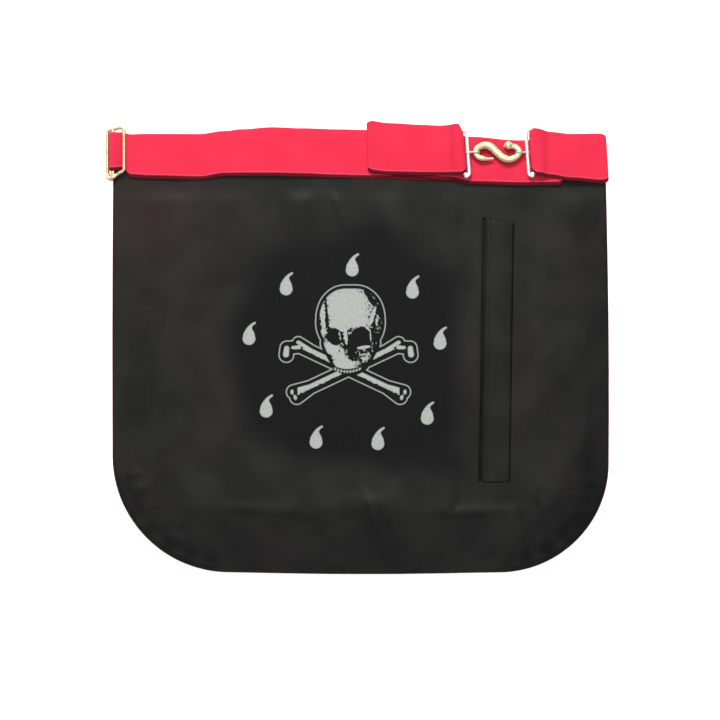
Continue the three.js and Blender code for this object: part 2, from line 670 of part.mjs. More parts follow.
// The printed tears, which stand a little unevenly. turn is in degrees from +X, reach a share of the ring.
const TEARS = [
  { turn: 87, reach: 0.97 },
  { turn: 130.4, reach: 1.007 },
  { turn: 167.2, reach: 1.075 },
  { turn: 211.7, reach: 1.017 },
  { turn: 248.9, reach: 0.928 },
  { turn: 290.2, reach: 0.939 },
  { turn: 324.3, reach: 1.047 },
  { turn: 10.8, reach: 1.004 },
  { turn: 46.6, reach: 1.008 },
];

// A tear about the middle of its bulb
function tearShape() {
  const half = TEAR_WIDTH / 2;
  const round = TEAR_LENGTH * 0.32;
  const tip = TEAR_LENGTH - round;
  const shape = new THREE.Shape();
  shape.moveTo(TEAR_WIDTH * 0.25, tip);
  shape.bezierCurveTo(TEAR_WIDTH * 0.1, tip * 0.55, half, half * 0.6, half, 0);
  shape.bezierCurveTo(half, -round * 1.3, -half, -round * 1.3, -half, 0);
  shape.bezierCurveTo(-half, half * 0.8, -TEAR_WIDTH * 0.2, tip * 0.8, TEAR_WIDTH * 0.25, tip);
  return shape;
}

function ellipsePoints(x, y, rx, ry, turnAngle) {
  const count = 16;
  return Array.from({ length: count }, (_, i) => {
    const angle = (2 * Math.PI * i) / count;
    const point = new THREE.Vector2(rx * Math.cos(angle), ry * Math.sin(angle));
    return point.rotateAround(new THREE.Vector2(0, 0), turnAngle).add(new THREE.Vector2(x, y));
  });
}

// Right half of the skull's outline, from the crown down to the teeth, as shares of its box
const SKULL_HALF = [
  { x: 0.16, y: 0.5 },
  { x: 0.36, y: 0.42 },
  { x: 0.48, y: 0.24 },
  { x: 0.5, y: 0.04 },
  { x: 0.44, y: -0.1 },
  { x: 0.43, y: -0.2 },
  { x: 0.33, y: -0.29 },
  { x: 0.24, y: -0.4 },
  { x: 0.13, y: -0.49 },
];

// The bones cross a clearance below the cut-out for the skull's teeth
const skullFoot = SKULL_HALF[SKULL_HALF.length - 1].y * SKULL_HEIGHT * SKULL_HALO;
const boneDrop = BONE_CLEARANCE - SKULL_RAISE - skullFoot;

function skullShape(grow) {
  const sized = (p, side) =>
    new THREE.Vector2(side * p.x * SKULL_WIDTH * grow, p.y * SKULL_HEIGHT * grow);
  const right = SKULL_HALF.map((p) => sized(p, 1));
  const left = SKULL_HALF.map((p) => sized(p, -1)).reverse();
  return new THREE.Shape([...right, ...left]);
}

function skullGeometry() {
  const shape = skullShape(1);
  const eyeX = SKULL_WIDTH * 0.19;
  const eyeY = -SKULL_HEIGHT * 0.07;
  const eyeWide = SKULL_WIDTH * 0.13;
  const eyeTall = SKULL_HEIGHT * 0.09;
  shape.holes.push(new THREE.Path(ellipsePoints(eyeX, eyeY, eyeWide, eyeTall, radians(-12))));
  shape.holes.push(new THREE.Path(ellipsePoints(-eyeX, eyeY, eyeWide, eyeTall, radians(12))));
  const nose = [
    new THREE.Vector2(0, -SKULL_HEIGHT * 0.13),
    new THREE.Vector2(-SKULL_WIDTH * 0.075, -SKULL_HEIGHT * 0.26),
    new THREE.Vector2(SKULL_WIDTH * 0.075, -SKULL_HEIGHT * 0.26),
  ];
  shape.holes.push(new THREE.Path(nose));
  return printSolid(shape).translate(EMBLEM_X + SKULL_SHIFT, emblemY + SKULL_RAISE, 0);
}

function boneShape() {
  const half = BONE_LENGTH / 2 - BONE_KNOB_RADIUS;
  const lobes = [-1, 1].flatMap((end) => [-1, 1].map((side) => [end * half, side * BONE_KNOB_RADIUS * 0.9]));
  const shaft = [
    new THREE.Vector2(-half, -BONE_WIDTH * 0.7),
    new THREE.Vector2(-half * 0.75, -BONE_WIDTH / 2),
    new THREE.Vector2(half * 0.75, -BONE_WIDTH / 2),
    new THREE.Vector2(half, -BONE_WIDTH * 0.7),
    new THREE.Vector2(half, BONE_WIDTH * 0.7),
    new THREE.Vector2(half * 0.75, BONE_WIDTH / 2),
    new THREE.Vector2(-half * 0.75, BONE_WIDTH / 2),
    new THREE.Vector2(-half, BONE_WIDTH * 0.7),
  ];
  return { shaft: new THREE.Shape(shaft), lobes };
}

// Both bones as one print, cleared round the skull above their crossing
function bonesGeometry() {
  const { shaft, lobes } = boneShape();
  let crossed = null;
  for (const side of [-1, 1]) {
    let bone = toManifold(printSolid(shaft));
    for (const [x, y] of lobes) {
      const lobe = new THREE.Shape(ellipsePoints(x, y, BONE_KNOB_RADIUS, BONE_KNOB_RADIUS, 0));
      bone = bone.add(toManifold(printSolid(lobe)));
    }
    const turned = toManifold(fromManifold(bone).rotateZ(radians(side * BONE_ANGLE)));
    crossed = crossed ? crossed.add(turned) : turned;
  }
  const depth = 4 * PANEL_THICKNESS;
  const room = new THREE.ExtrudeGeometry(skullShape(SKULL_HALO), { depth, bevelEnabled: false });
  room.translate(SKULL_SHIFT, SKULL_RAISE + boneDrop, panelTop - PANEL_THICKNESS);
  return fromManifold(crossed.subtract(toManifold(room))).translate(EMBLEM_X, emblemY - boneDrop, 0);
}

function piece(name, geometry, finish) {
  const mesh = new THREE.Mesh(geometry, new THREE.MeshStandardMaterial(finish));
  mesh.name = name;
  return mesh;
}

const apron = new THREE.Group();
apron.add(piece('front_facing', clothSolid(FACING_SHOW, 0, FACING_THICKNESS), RED_SATIN));
apron.add(piece('back_panel', backPanelGeometry(), BLACK_SATIN));
apron.add(piece('pocket_welt', weltGeometry(), BLACK_SATIN));

const print = new THREE.Group();
print.add(piece('emblem_skull', skullGeometry(), PRINT_INK));
print.add(piece('emblem_bones', bonesGeometry(), PRINT_INK));
TEARS.forEach(({ turn: place, reach }, i) => {
  const angle = radians(place);
  const radius = TEAR_RING_RADIUS * reach;
  const tear = piece(`emblem_tear_${i + 1}`, printSolid(tearShape()), PRINT_INK);
  tear.position.set(EMBLEM_X + radius * Math.cos(angle), emblemY + radius * Math.sin(angle), 0);
  tear.rotation.z = radians(-TEAR_LEAN);
  print.add(tear);
});
apron.add(print);

const belt = new THREE.Group();
belt.add(piece('long_strap', webbing(longStrapPath()), RED_WEBBING));
belt.add(piece('short_strap', webbing(shortStrapPath()), RED_WEBBING));

const slider = piece('slider', sliderGeometry(), GILT);
slider.position.set(sliderMiddleX, beltY + SLIDER_RAISE, sliderLevel);
slider.rotation.y = -Math.atan2(sliderRightLevel - sliderLevel, SLIDER_RIGHT_BAR);
belt.add(slider);

const clasp = new THREE.Group();
clasp.position.set(claspX, claspY, claspLevel);
clasp.add(piece('snake_hook', hookGeometry(), GILT));
const leftLoop = piece('clasp_loop_left', claspLoopGeometry(1), NICKEL);
leftLoop.position.x = -claspHalf;
const rightLoop = piece('clasp_loop_right', claspLoopGeometry(-1), NICKEL);
rightLoop.position.x = claspHalf;
clasp.add(leftLoop, rightLoop);
belt.add(clasp);
apron.add(belt);

// Centres the whole piece over the origin and sets it down at zero
const model = new THREE.Group();
const box = new THREE.Box3().setFromObject(apron, true);
const middle = box.getCenter(new THREE.Vector3());
apron.position.set(-middle.x, -middle.y, -box.min.z);
model.add(apron);

export default model;
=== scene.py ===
"""Dresses a packed masonic apron that lies face down with its belt folded over it.

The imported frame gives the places. Lengths are in metres: +X runs across the apron, +Y towards its
belt and +Z up. Every new piece is a surface worked out with numpy and put into a mesh in place.
"""

import logging
import math
from dataclasses import dataclass
from enum import Enum
from typing import Callable, Iterator, NamedTuple, Optional, Sequence

import bpy
import numpy as np
from mathutils import Matrix, Vector

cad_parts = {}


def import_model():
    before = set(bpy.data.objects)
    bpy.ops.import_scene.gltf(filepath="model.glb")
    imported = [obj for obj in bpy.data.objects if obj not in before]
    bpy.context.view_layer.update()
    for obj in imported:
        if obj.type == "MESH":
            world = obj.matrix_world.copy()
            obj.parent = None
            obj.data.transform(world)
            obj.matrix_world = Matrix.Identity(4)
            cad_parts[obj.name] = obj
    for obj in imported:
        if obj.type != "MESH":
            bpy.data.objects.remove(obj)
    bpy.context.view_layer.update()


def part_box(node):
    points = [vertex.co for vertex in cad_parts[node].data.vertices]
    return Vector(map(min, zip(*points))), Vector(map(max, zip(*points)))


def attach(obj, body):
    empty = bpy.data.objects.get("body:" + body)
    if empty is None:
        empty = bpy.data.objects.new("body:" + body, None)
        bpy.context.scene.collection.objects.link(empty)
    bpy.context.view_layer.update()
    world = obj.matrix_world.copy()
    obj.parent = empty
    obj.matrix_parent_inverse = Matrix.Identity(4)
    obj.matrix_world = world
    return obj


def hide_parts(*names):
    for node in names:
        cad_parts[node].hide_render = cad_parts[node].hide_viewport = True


MM = 0.001
LOG = logging.getLogger("apron")
Field = np.ndarray


# Camera first: straight above, framed as the photograph is


@dataclass(frozen=True)
class Overhead:
    """The camera and the studio round the apron."""

    distance: float = 2200 * MM
    focus_level: float = 3 * MM
    frame_width: float = 590.4 * MM
    centre_x: float = 2.0 * MM
    centre_y: float = -9.8 * MM
    sensor: float = 36.0
    view_end: float = 50.0
    floor_half: float = 4.0
    key_distance: float = 1.9
    key_elevation: float = 48.0
    key_turn: float = -8.0
    key_size: float = 0.55
    key_power: float = 31.0
    fill_height: float = 3.2
    fill_size: float = 1.6
    fill_power: float = 16.0
    sky_strength: float = 0.42

    def camera(self) -> None:
        """Make the camera, which looks straight down with the belt at the top of its frame."""
        data = bpy.data.cameras.new("overhead")
        data.sensor_width = self.sensor
        data.lens = self.sensor * (self.distance - self.focus_level) / self.frame_width
        data.clip_end = self.view_end
        camera = bpy.data.objects.new("overhead", data)
        camera.location = (self.centre_x, self.centre_y, self.distance)
        bpy.context.collection.objects.link(camera)
        bpy.context.scene.camera = camera

    def studio(self) -> None:
        """Lay a pale floor, lit by a soft key beyond the belt, a fill overhead and an even sky."""
        half = self.floor_half
        corners = np.array([[-half, -half, 0], [half, -half, 0], [half, half, 0], [-half, half, 0]])
        floor = make_object("floor", corners, np.array([[0, 1, 2, 3]]))
        floor.data.materials.append(PaleFloor().build())
        rise = math.radians(self.key_elevation)
        turn = math.radians(90 - self.key_turn)
        away = self.key_distance * math.cos(rise)
        key = (away * math.cos(turn), away * math.sin(turn), self.key_distance * math.sin(rise))
        self.lamp("key", key, self.key_size, self.key_power)
        self.lamp("fill", (0.0, 0.0, self.fill_height), self.fill_size, self.fill_power)
        world = bpy.data.worlds.new("sky")
        world.use_nodes = True
        background = world.node_tree.nodes["Background"]
        background.inputs["Color"].default_value = (1.0, 1.0, 1.0, 1.0)
        background.inputs["Strength"].default_value = self.sky_strength
        bpy.context.scene.world = world
        bpy.context.scene.view_settings.view_transform = "Standard"

    def lamp(self, name: str, place: tuple[float, float, float], size: float, power: float) -> None:
        """Hang a square soft lamp that faces the apron's middle.

        Args:
            name: The lamp's name.
            place: Where it hangs.
            size: Its side.
            power: Its power in watts.
        """
        data = bpy.data.lights.new(name, "AREA")
        data.energy = power
        data.size = size
        lamp = bpy.data.objects.new(name, data)
        lamp.location = place
        lamp.rotation_euler = Vector(place).to_track_quat("Z", "Y").to_euler()
        bpy.context.collection.objects.link(lamp)


# Shapes as whole arrays


def ease(value: Field, low: float, high: float) -> Field:
    """Rise smoothly from 0 at low to 1 at high: 3t² - 2t³ of the clipped share t.

    Args:
        value: Where to read the curve.
        low: Where it leaves 0.
        high: Where it reaches 1.

    Returns:
        The eased shares.
    """
    share = np.clip((np.asarray(value, dtype=float) - low) / (high - low), 0.0, 1.0)
    return share * share * (3.0 - 2.0 * share)


def mix(first: Field, second: Field, share: Field) -> Field:
    """Blend from first to second, as first + (second - first) times share."""
    return first + (second - first) * share


def bell(value: Field, middle: float, width: float) -> Field:
    """A bell curve of height 1: e to the minus square of the distance from middle over width."""
    return np.exp(-(((value - middle) / width) ** 2))


def lattice_noise(x: Field, y: Field, cell: float, seed: int) -> Field:
    """Noise from -1 to 1: seeded values at the corners of square cells, eased between them.

    Args:
        x: First coordinate.
        y: Second coordinate.
        cell: Side of a cell.
        seed: Seed of the corner values.

    Returns:
        The noise at each place.
    """
    size = 128
    table = np.random.default_rng(seed).uniform(-1.0, 1.0, (size, size))
    u = np.asarray(x) / cell
    v = np.asarray(y) / cell
    column = np.floor(u).astype(int)
    row = np.floor(v).astype(int)
    s = ease(u - column, 0.0, 1.0)
    t = ease(v - row, 0.0, 1.0)
    left = mix(table[row % size, column % size], table[(row + 1) % size, column % size], t)
    right = mix(table[row % size, (column + 1) % size], table[(row + 1) % size, (column + 1) % size], t)
    return mix(left, right, s)


def cloudy(x: Field, y: Field, cell: float, seed: int, layers: int = 3) -> Field:
    """Layered noise: each layer has half the cell and half the height of the one before."""
    total = sum(lattice_noise(x, y, cell / 2**n, seed + n) / 2**n for n in range(layers))
    return total / sum(0.5**n for n in range(layers))


def spline(points: Field, count: int) -> Field:
    """Pass a Catmull-Rom curve through points and take evenly spaced places on it.

    Args:
        points: The points, one a row.
        count: How many places to take.

    Returns:
        An array of count rows.
    """
    padded = np.vstack([2 * points[0] - points[1], points, 2 * points[-1] - points[-2]])
    fine = 24
    t = np.linspace(0.0, 1.0, fine, endpoint=False)[:, None]
    parts = []
    for a, b, c, d in zip(padded, padded[1:], padded[2:], padded[3:]):
        parts.append(0.5 * (2 * b + (c - a) * t + (2 * a - 5 * b + 4 * c - d) * t**2
                            + (3 * b - a - 3 * c + d) * t**3))
    dense = np.vstack([*parts, points[-1:]])
    steps = np.r_[0.0, np.cumsum(np.linalg.norm(np.diff(dense, axis=0), axis=1))]
    even = np.linspace(0.0, steps[-1], count)
    return np.column_stack([np.interp(even, steps, column) for column in dense.T])


def lattice_quads(rows: int, columns: int, wrap_rows: bool = False, wrap_columns: bool = False) -> Field:
    """Quads of a grid of points that is stored row by row, facing up when rows run +Y and columns +X.

    Args:
        rows: Rows of points.
        columns: Points in a row.
        wrap_rows: Whether the last row joins the first.
        wrap_columns: Whether the last point of a row joins its first.

    Returns:
        Four point numbers for each quad.
    """
    i = np.arange(rows if wrap_rows else rows - 1)[:, None]
    j = np.arange(columns if wrap_columns else columns - 1)[None, :]
    up = (i + 1) % rows
    over = (j + 1) % columns
    corners = [i * columns + j, i * columns + over, up * columns + over, up * columns + j]
    return np.stack([np.broadcast_to(c, (i.size, j.size)) for c in corners], axis=-1).reshape(-1, 4)


def make_object(name: str, points: Field, quads: Field, triangles: Optional[Field] = None,
                attributes: Optional[dict[str, Field]] = None) -> bpy.types.Object:
    """Put points and faces into a smooth mesh of a new object at the origin.

    Args:
        name: The piece's name.
        points: Point places, one a row.
        quads: Four point numbers a face.
        triangles: Three point numbers a face.
        attributes: A number for each point, by name.

    Returns:
        The object.
    """
    triangles = np.zeros((0, 3), dtype=int) if triangles is None else triangles
    corners = np.concatenate([quads.ravel(), triangles.ravel()]).astype(np.int32)
    sizes = np.r_[np.full(len(quads), 4), np.full(len(triangles), 3)]
    starts = np.r_[0, np.cumsum(sizes)[:-1]].astype(np.int32)
    mesh = bpy.data.meshes.new(name)
    mesh.vertices.add(len(points))
    mesh.vertices.foreach_set("co", np.ascontiguousarray(points, dtype=np.float32).ravel())
    mesh.loops.add(len(corners))
    mesh.loops.foreach_set("vertex_index", corners)
    mesh.polygons.add(len(sizes))
    mesh.polygons.foreach_set("loop_start", starts)
    mesh.polygons.foreach_set("use_smooth", np.ones(len(sizes), dtype=bool))
    mesh.update(calc_edges=True)
    for key, values in (attributes or {}).items():
        layer = mesh.attributes.new(key, "FLOAT", "POINT")
        layer.data.foreach_set("value", np.ascontiguousarray(values, dtype=np.float32).ravel())
    obj = bpy.data.objects.new(name, mesh)
    bpy.context.collection.objects.link(obj)
    return obj


class Shell:
    """Surfaces gathered for one piece, each with its points, faces and point attributes."""

    def __init__(self) -> None:
        """Start with no surface."""
        self.points: list[Field] = []
        self.quads: list[Field] = []
        self.triangles: list[Field] = []
        self.attributes: dict[str, list[Field]] = {}
        self.count = 0

    def add(self, points: Field, quads: Field, triangles: Optional[Field] = None,
            **attributes: Field) -> None:
        """Add a surface.

        Args:
            points: Point places.
            quads: Four point numbers a face, counted from this surface's first point.
            triangles: Three point numbers a face, or None.
            **attributes: A number for each point, by name.
        """
        flat = points.reshape(-1, 3)
        self.points.append(flat)
        self.quads.append(quads + self.count)
        if triangles is not None:
            self.triangles.append(triangles + self.count)
        for key, values in attributes.items():
            self.attributes.setdefault(key, []).append(np.asarray(values).ravel())
        self.count += len(flat)

    def tube(self, path: Field, radius: Field, up: Sequence[float] = (0.0, 0.0, 1.0), sides: int = 24,
             closed: bool = False, flatten: float = 1.0, swell: Optional[Field] = None) -> None:
        """Add a round wire: at each path point, a ring in the plane of up and the crossways direction.

        Args:
            path: Middle line, one point a row.
            radius: Wire radius at each point.
            up: Direction square to the plane that the wire is bent in.
            sides: Points in a ring.
            closed: Whether the wire joins its start.
            flatten: Height of a ring as a share of its width.
            swell: Extra radius for each path point and side.
        """
        upward = np.asarray(up, dtype=float) / np.linalg.norm(up)
        if closed:
            tangent = np.roll(path, -1, axis=0) - np.roll(path, 1, axis=0)
        else:
            tangent = np.gradient(path, axis=0)
        across = np.cross(upward, tangent)
        across /= np.linalg.norm(across, axis=1, keepdims=True)
        angle = np.linspace(0.0, 2 * np.pi, sides, endpoint=False)
        reach = np.broadcast_to(np.asarray(radius, dtype=float), len(path))[:, None]
        reach = reach + (0.0 if swell is None else swell)
        out = reach * np.cos(angle)
        lift = reach * np.sin(angle) * flatten
        rings = path[:, None, :] + out[..., None] * across[:, None, :] + lift[..., None] * upward
        # Painted shade: 1 on the sides and underside of the wire and 0 on its top, to darken the wire's
        # colour there.
        recess = 1 - ease(np.sin(angle), 0.15, 0.8)
        self.rings(rings, closed, recess=np.broadcast_to(recess, out.shape))

    def rings(self, rings: Field, closed: bool, **attributes: Field) -> None:
        """Add a surface through rings that run anticlockwise as seen from the end of the path.

        Args:
            rings: Ring points, as (rings, points in a ring, 3).
            closed: Whether the last ring joins the first. Open ends get flat caps.
            **attributes: A number for each ring point, by name.
        """
        count, sides, _ = rings.shape
        quads = lattice_quads(count, sides, closed, True)
        if closed:
            self.add(rings, quads, None, **attributes)
            return
        points = np.vstack([rings.reshape(-1, 3), rings[0].mean(axis=0), rings[-1].mean(axis=0)])
        j = np.arange(sides)
        k = (j + 1) % sides
        last = (count - 1) * sides
        start = np.stack([np.full(sides, count * sides), k, j], axis=1)
        end = np.stack([np.full(sides, count * sides + 1), last + j, last + k], axis=1)
        capped = {}
        for key, values in attributes.items():
            capped[key] = np.r_[values.ravel(), values[0].mean(), values[-1].mean()]
        self.add(points, quads, np.vstack([start, end]), **capped)

    def piece(self, name: str, finish: "Finish", nodes: Sequence[str] = ()) -> bpy.types.Object:
        """Make the gathered surfaces one piece of the root body.

        Args:
            name: The piece's name.
            finish: Its finish.
            nodes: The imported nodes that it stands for.

        Returns:
            The object.
        """
        attributes = {key: np.concatenate(parts) for key, parts in self.attributes.items()}
        triangles = np.vstack(self.triangles) if self.triangles else None
        obj = make_object(name, np.vstack(self.points), np.vstack(self.quads), triangles, attributes)
        obj.data.materials.append(finish.build())
        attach(obj, "root")
        if nodes:
            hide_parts(*nodes)
        faces = 2 * sum(map(len, self.quads)) + (0 if triangles is None else len(triangles))
        LOG.info("%s: %d triangles in %s", name, faces, finish.name)
        return obj


# Finishes


class Slot(Enum):
    """Names of material slots."""

    BLACK_SATIN = "black_satin"
    RED_SATIN = "red_satin"
    RED_WEBBING = "red_webbing"
    PRINT_INK = "print_ink"
    GILT = "gilt"
    NICKEL = "nickel"


def colour(code: str) -> tuple[float, float, float, float]:
    """Turn an sRGB hex colour into a linear one with full alpha."""
    parts = [int(code[i:i + 2], 16) / 255 for i in (1, 3, 5)]
    linear = [c / 12.92 if c <= 0.04045 else ((c + 0.055) / 1.055) ** 2.4 for c in parts]
    return (linear[0], linear[1], linear[2], 1.0)


def output_of(tree: bpy.types.NodeTree, source: str) -> bpy.types.NodeSocket:
    """Find an output from its node's name, a stop, and its own name or number."""
    maker, output = source.split(".")
    outputs = tree.nodes[maker].outputs
    return outputs[int(output)] if output.isdigit() else outputs[output]


def add_node(tree: bpy.types.NodeTree, name: str, kind: str, settings: dict, links: dict) -> bpy.types.Node:
    """Add one node, with its settings and the links into it.

    Args:
        tree: The node tree.
        name: The node's name.
        kind: The node's type, without its common prefix.
        settings: Values by property name, or by socket name or number.
        links: Sources by socket name or number, each as a node's name, a stop and its output.

    Returns:
        The node.
    """
    node = tree.nodes.new("ShaderNode" + kind)
    node.name = name
    for key, value in settings.items():
        if isinstance(key, str) and hasattr(node, key):
            setattr(node, key, value)
        else:
            node.inputs[key].default_value = value
    for key, source in links.items():
        tree.links.new(output_of(tree, source), node.inputs[key])
    return node


NodeRow = tuple[str, str, dict, dict]
SMOOTH = {"interpolation_type": "SMOOTHSTEP"}
BLEND = {"data_type": "RGBA"}


@dataclass(frozen=True)
class Finish:
    """A finish: its name, the name of a material slot, and the shader values that are even all over."""

    name: str
    slot: Slot = Slot.BLACK_SATIN

    def values(self) -> dict:
        """Give the shader's even values by socket name."""
        return {}

    def pattern(self) -> list[NodeRow]:
        """List the pattern's nodes: name, kind, settings and links. A mix's colours are its sockets
        6 and 7, and its result is output 2."""
        return []

    def feeds(self) -> dict[str, str]:
        """Give the pattern's outputs by the shader socket that each feeds."""
        return {}

    def build(self) -> bpy.types.Material:
        """Make the material, or give the one already made under this name.

        Returns:
            The material.
        """
        if self.name in bpy.data.materials:
            return bpy.data.materials[self.name]
        material = bpy.data.materials.new(self.name)
        material.use_nodes = True
        tree = material.node_tree
        shader = tree.nodes["Principled BSDF"]
        for key, value in self.values().items():
            shader.inputs[key].default_value = value
        for row in self.pattern():
            add_node(tree, *row)
        for key, source in self.feeds().items():
            tree.links.new(output_of(tree, source), shader.inputs[key])
        return material


@dataclass(frozen=True)
class PaleFloor(Finish):
    """Matte white paper, lit through from below as on a light table, so that shadows on it stay faint."""

    name: str = "white_paper_sheet"
    glow: float = 0.62

    def values(self) -> dict:
        """Give the shader's even values."""
        return {"Base Color": colour("#fbfbfb"), "Roughness": 0.9, "Specular IOR Level": 0.1,
                "Emission Color": (1.0, 1.0, 1.0, 1.0), "Emission Strength": self.glow}


@dataclass(frozen=True)
class PolyesterSatin(Finish):
    """Polyester satin: floats of smooth filament give it a broad soft gloss with faint streaks along
    the warp. The real threads are 0.1 mm apart, so the streaks are drawn 1 mm wide to show at all.
    The film attribute is the dull transfer film round the print together with painted shade towards the hem
    and the right side, and the worn one faded cloth together with a painted sheen at the upper left.
    """

    name: str = "black_polyester_satin"
    slot: Slot = Slot.BLACK_SATIN
    main: str = "#1e1e1c"
    deep: str = "#131312"
    # worn is the colour of faded cloth and of the painted sheen at the upper left.
    worn: str = "#2c1e1c"
    # film is the colour of the transfer film and of the painted shade towards the hem and the right side.
    film: str = "#0b0b0d"
    streak: str = "#242322"
    warp_width: float = 1.0 * MM
    warp_length: float = 30 * MM
    blotch: float = 38 * MM

    def values(self) -> dict:
        """Give the shader's even values."""
        return {"IOR": 1.46, "Specular IOR Level": 0.16, "Sheen Weight": 0.03, "Sheen Roughness": 0.4}

    def pattern(self) -> list[NodeRow]:
        """Tone in large clouds, streaks along the warp, worn cloth with a painted sheen, and the film round
        the print with painted shade towards the hem and the right side.
        """
        warp = (1 / self.warp_width, 1 / self.warp_length, 1 / self.warp_length)
        return [
            ("place", "TexCoord", {}, {}),
            ("warp", "Mapping", {"Scale": warp}, {"Vector": "place.Object"}),
            ("streak", "TexNoise", {"Scale": 1.0, "Detail": 3.0}, {"Vector": "warp.Vector"}),
            ("cloud", "TexNoise", {"Scale": 1 / self.blotch, "Detail": 3.0}, {"Vector": "place.Object"}),
            ("worn", "Attribute", {"attribute_name": "worn"}, {}),
            ("film", "Attribute", {"attribute_name": "film"}, {}),
            ("cloudiness", "MapRange", {**SMOOTH, "From Min": 0.36, "From Max": 0.64},
             {"Value": "cloud.Fac"}),
            ("thread", "MapRange", {**SMOOTH, "From Min": 0.35, "From Max": 0.75, "To Max": 0.28},
             {"Value": "streak.Fac"}),
            ("ground", "Mix", {**BLEND, 6: colour(self.main), 7: colour(self.deep)},
             {0: "cloudiness.Result"}),
            ("rubbed", "Mix", {**BLEND, 7: colour(self.worn)}, {0: "worn.Fac", 6: "ground.2"}),
            ("streaked", "Mix", {**BLEND, 7: colour(self.streak)}, {0: "thread.Result", 6: "rubbed.2"}),
            ("filmed", "Mix", {**BLEND, 7: colour(self.film)}, {0: "film.Fac", 6: "streaked.2"}),
            ("gloss", "MapRange", {"From Min": 0.3, "From Max": 0.7, "To Min": 0.38, "To Max": 0.47},
             {"Value": "streak.Fac"}),
            ("dull", "Math", {"operation": "MULTIPLY_ADD", 1: 0.2}, {0: "film.Fac", 2: "gloss.Result"}),
            ("weave", "Bump", {"Distance": 0.03 * MM, "Strength": 0.35}, {"Height": "streak.Fac"}),
        ]

    def feeds(self) -> dict[str, str]:
        """Give the pattern's outputs."""
        return {"Base Color": "filmed.2", "Roughness": "dull.0", "Normal": "weave.Normal"}


@dataclass(frozen=True)
class RibbedWebbing(Finish):
    """Woven elastic webbing: fine ribs across it, matte with a slight nap, with painted shade as a dark band
    along its lower edge, a painted highlight as a pale line beside that band, and painted shade as a thin
    darker line along its upper edge. The real ribs are 0.7 mm apart and are drawn 1.6 mm apart, as fine as
    the render can show.
    """

    name: str = "red_elastic_webbing"
    slot: Slot = Slot.RED_WEBBING
    main: str = "#e52f4c"
    deep: str = "#d82541"
    # selvedge is the colour of the painted shade along the lower edge, pale that of the painted highlight
    # beside it, and hem that of the painted shade along the upper edge.
    selvedge: str = "#680817"
    pale: str = "#f0566d"
    hem: str = "#a8384f"
    rib: float = 1.6 * MM
    thread: float = 0.8 * MM
    lower_shade_width: float = 2.9 * MM
    highlight_width: float = 0.9 * MM
    upper_shade_width: float = 0.6 * MM

    def values(self) -> dict:
        """Give the shader's even values."""
        return {"Roughness": 0.7, "IOR": 1.45, "Specular IOR Level": 0.16, "Sheen Weight": 0.04,
                "Sheen Roughness": 0.5}

    def pattern(self) -> list[NodeRow]:
        """Ribs from the length along the strap, threads from both directions, and painted shade and
        highlight along both edges.
        """
        rib = math.pi / (10 * self.rib)
        dark, light, top = self.lower_shade_width, self.lower_shade_width + self.highlight_width, self.upper_shade_width
        soft = 0.5 * MM
        return [
            ("along", "Attribute", {"attribute_name": "along"}, {}),
            ("below", "Attribute", {"attribute_name": "below"}, {}),
            ("above", "Attribute", {"attribute_name": "above"}, {}),
            ("place", "CombineXYZ", {}, {"X": "along.Fac", "Y": "below.Fac"}),
            ("ribs", "TexWave", {"bands_direction": "X", "Distortion": 0.6, "Scale": rib, "Detail": 1.0,
                                 "Detail Scale": 2.0}, {"Vector": "place.Vector"}),
            ("thread", "TexNoise", {"Scale": 1 / self.thread, "Detail": 2.0}, {"Vector": "place.Vector"}),
            ("wear", "TexNoise", {"Scale": 1 / (22 * self.rib), "Detail": 2.0}, {"Vector": "place.Vector"}),
            ("worn", "MapRange", {**SMOOTH, "From Min": 0.35, "From Max": 0.65, "To Max": 0.5},
             {"Value": "wear.Fac"}),
            ("fine", "MapRange", {**SMOOTH, "From Min": 0.3, "From Max": 0.8, "To Max": 0.25},
             {"Value": "thread.Fac"}),
            # Painted shade: a dark band along the lower edge, which faces away from the light.
            ("dark", "MapRange", {**SMOOTH, "From Min": dark - soft, "From Max": dark + soft, "To Min": 1.0,
                                  "To Max": 0.0}, {"Value": "below.Fac"}),
            # Painted highlight: a pale line beside the dark band.
            ("light", "MapRange", {**SMOOTH, "From Min": light - soft, "From Max": light + soft,
                                   "To Min": 0.6, "To Max": 0.0}, {"Value": "below.Fac"}),
            # Painted shade: a thin darker line along the upper edge.
            ("top", "MapRange", {**SMOOTH, "From Min": top - soft / 2, "From Max": top + soft / 2,
                                 "To Min": 0.8, "To Max": 0.0}, {"Value": "above.Fac"}),
            ("shade", "Mix", {**BLEND, 6: colour(self.main), 7: colour(self.deep)}, {0: "worn.Result"}),
            ("woven", "Mix", {**BLEND, 7: colour(self.deep)}, {0: "fine.Result", 6: "shade.2"}),
            ("hemmed", "Mix", {**BLEND, 7: colour(self.hem)}, {0: "top.Result", 6: "woven.2"}),
            ("paler", "Mix", {**BLEND, 7: colour(self.pale)}, {0: "light.Result", 6: "hemmed.2"}),
            ("edged", "Mix", {**BLEND, 7: colour(self.selvedge)}, {0: "dark.Result", 6: "paler.2"}),
            ("height", "Math", {"operation": "MULTIPLY_ADD", 1: 0.5}, {0: "thread.Fac", 2: "ribs.Fac"}),
            ("weave", "Bump", {"Distance": 0.12 * MM, "Strength": 0.4}, {"Height": "height.0"}),
        ]

    def feeds(self) -> dict[str, str]:
        """Give the pattern's outputs."""
        return {"Base Color": "edged.2", "Normal": "weave.Normal"}


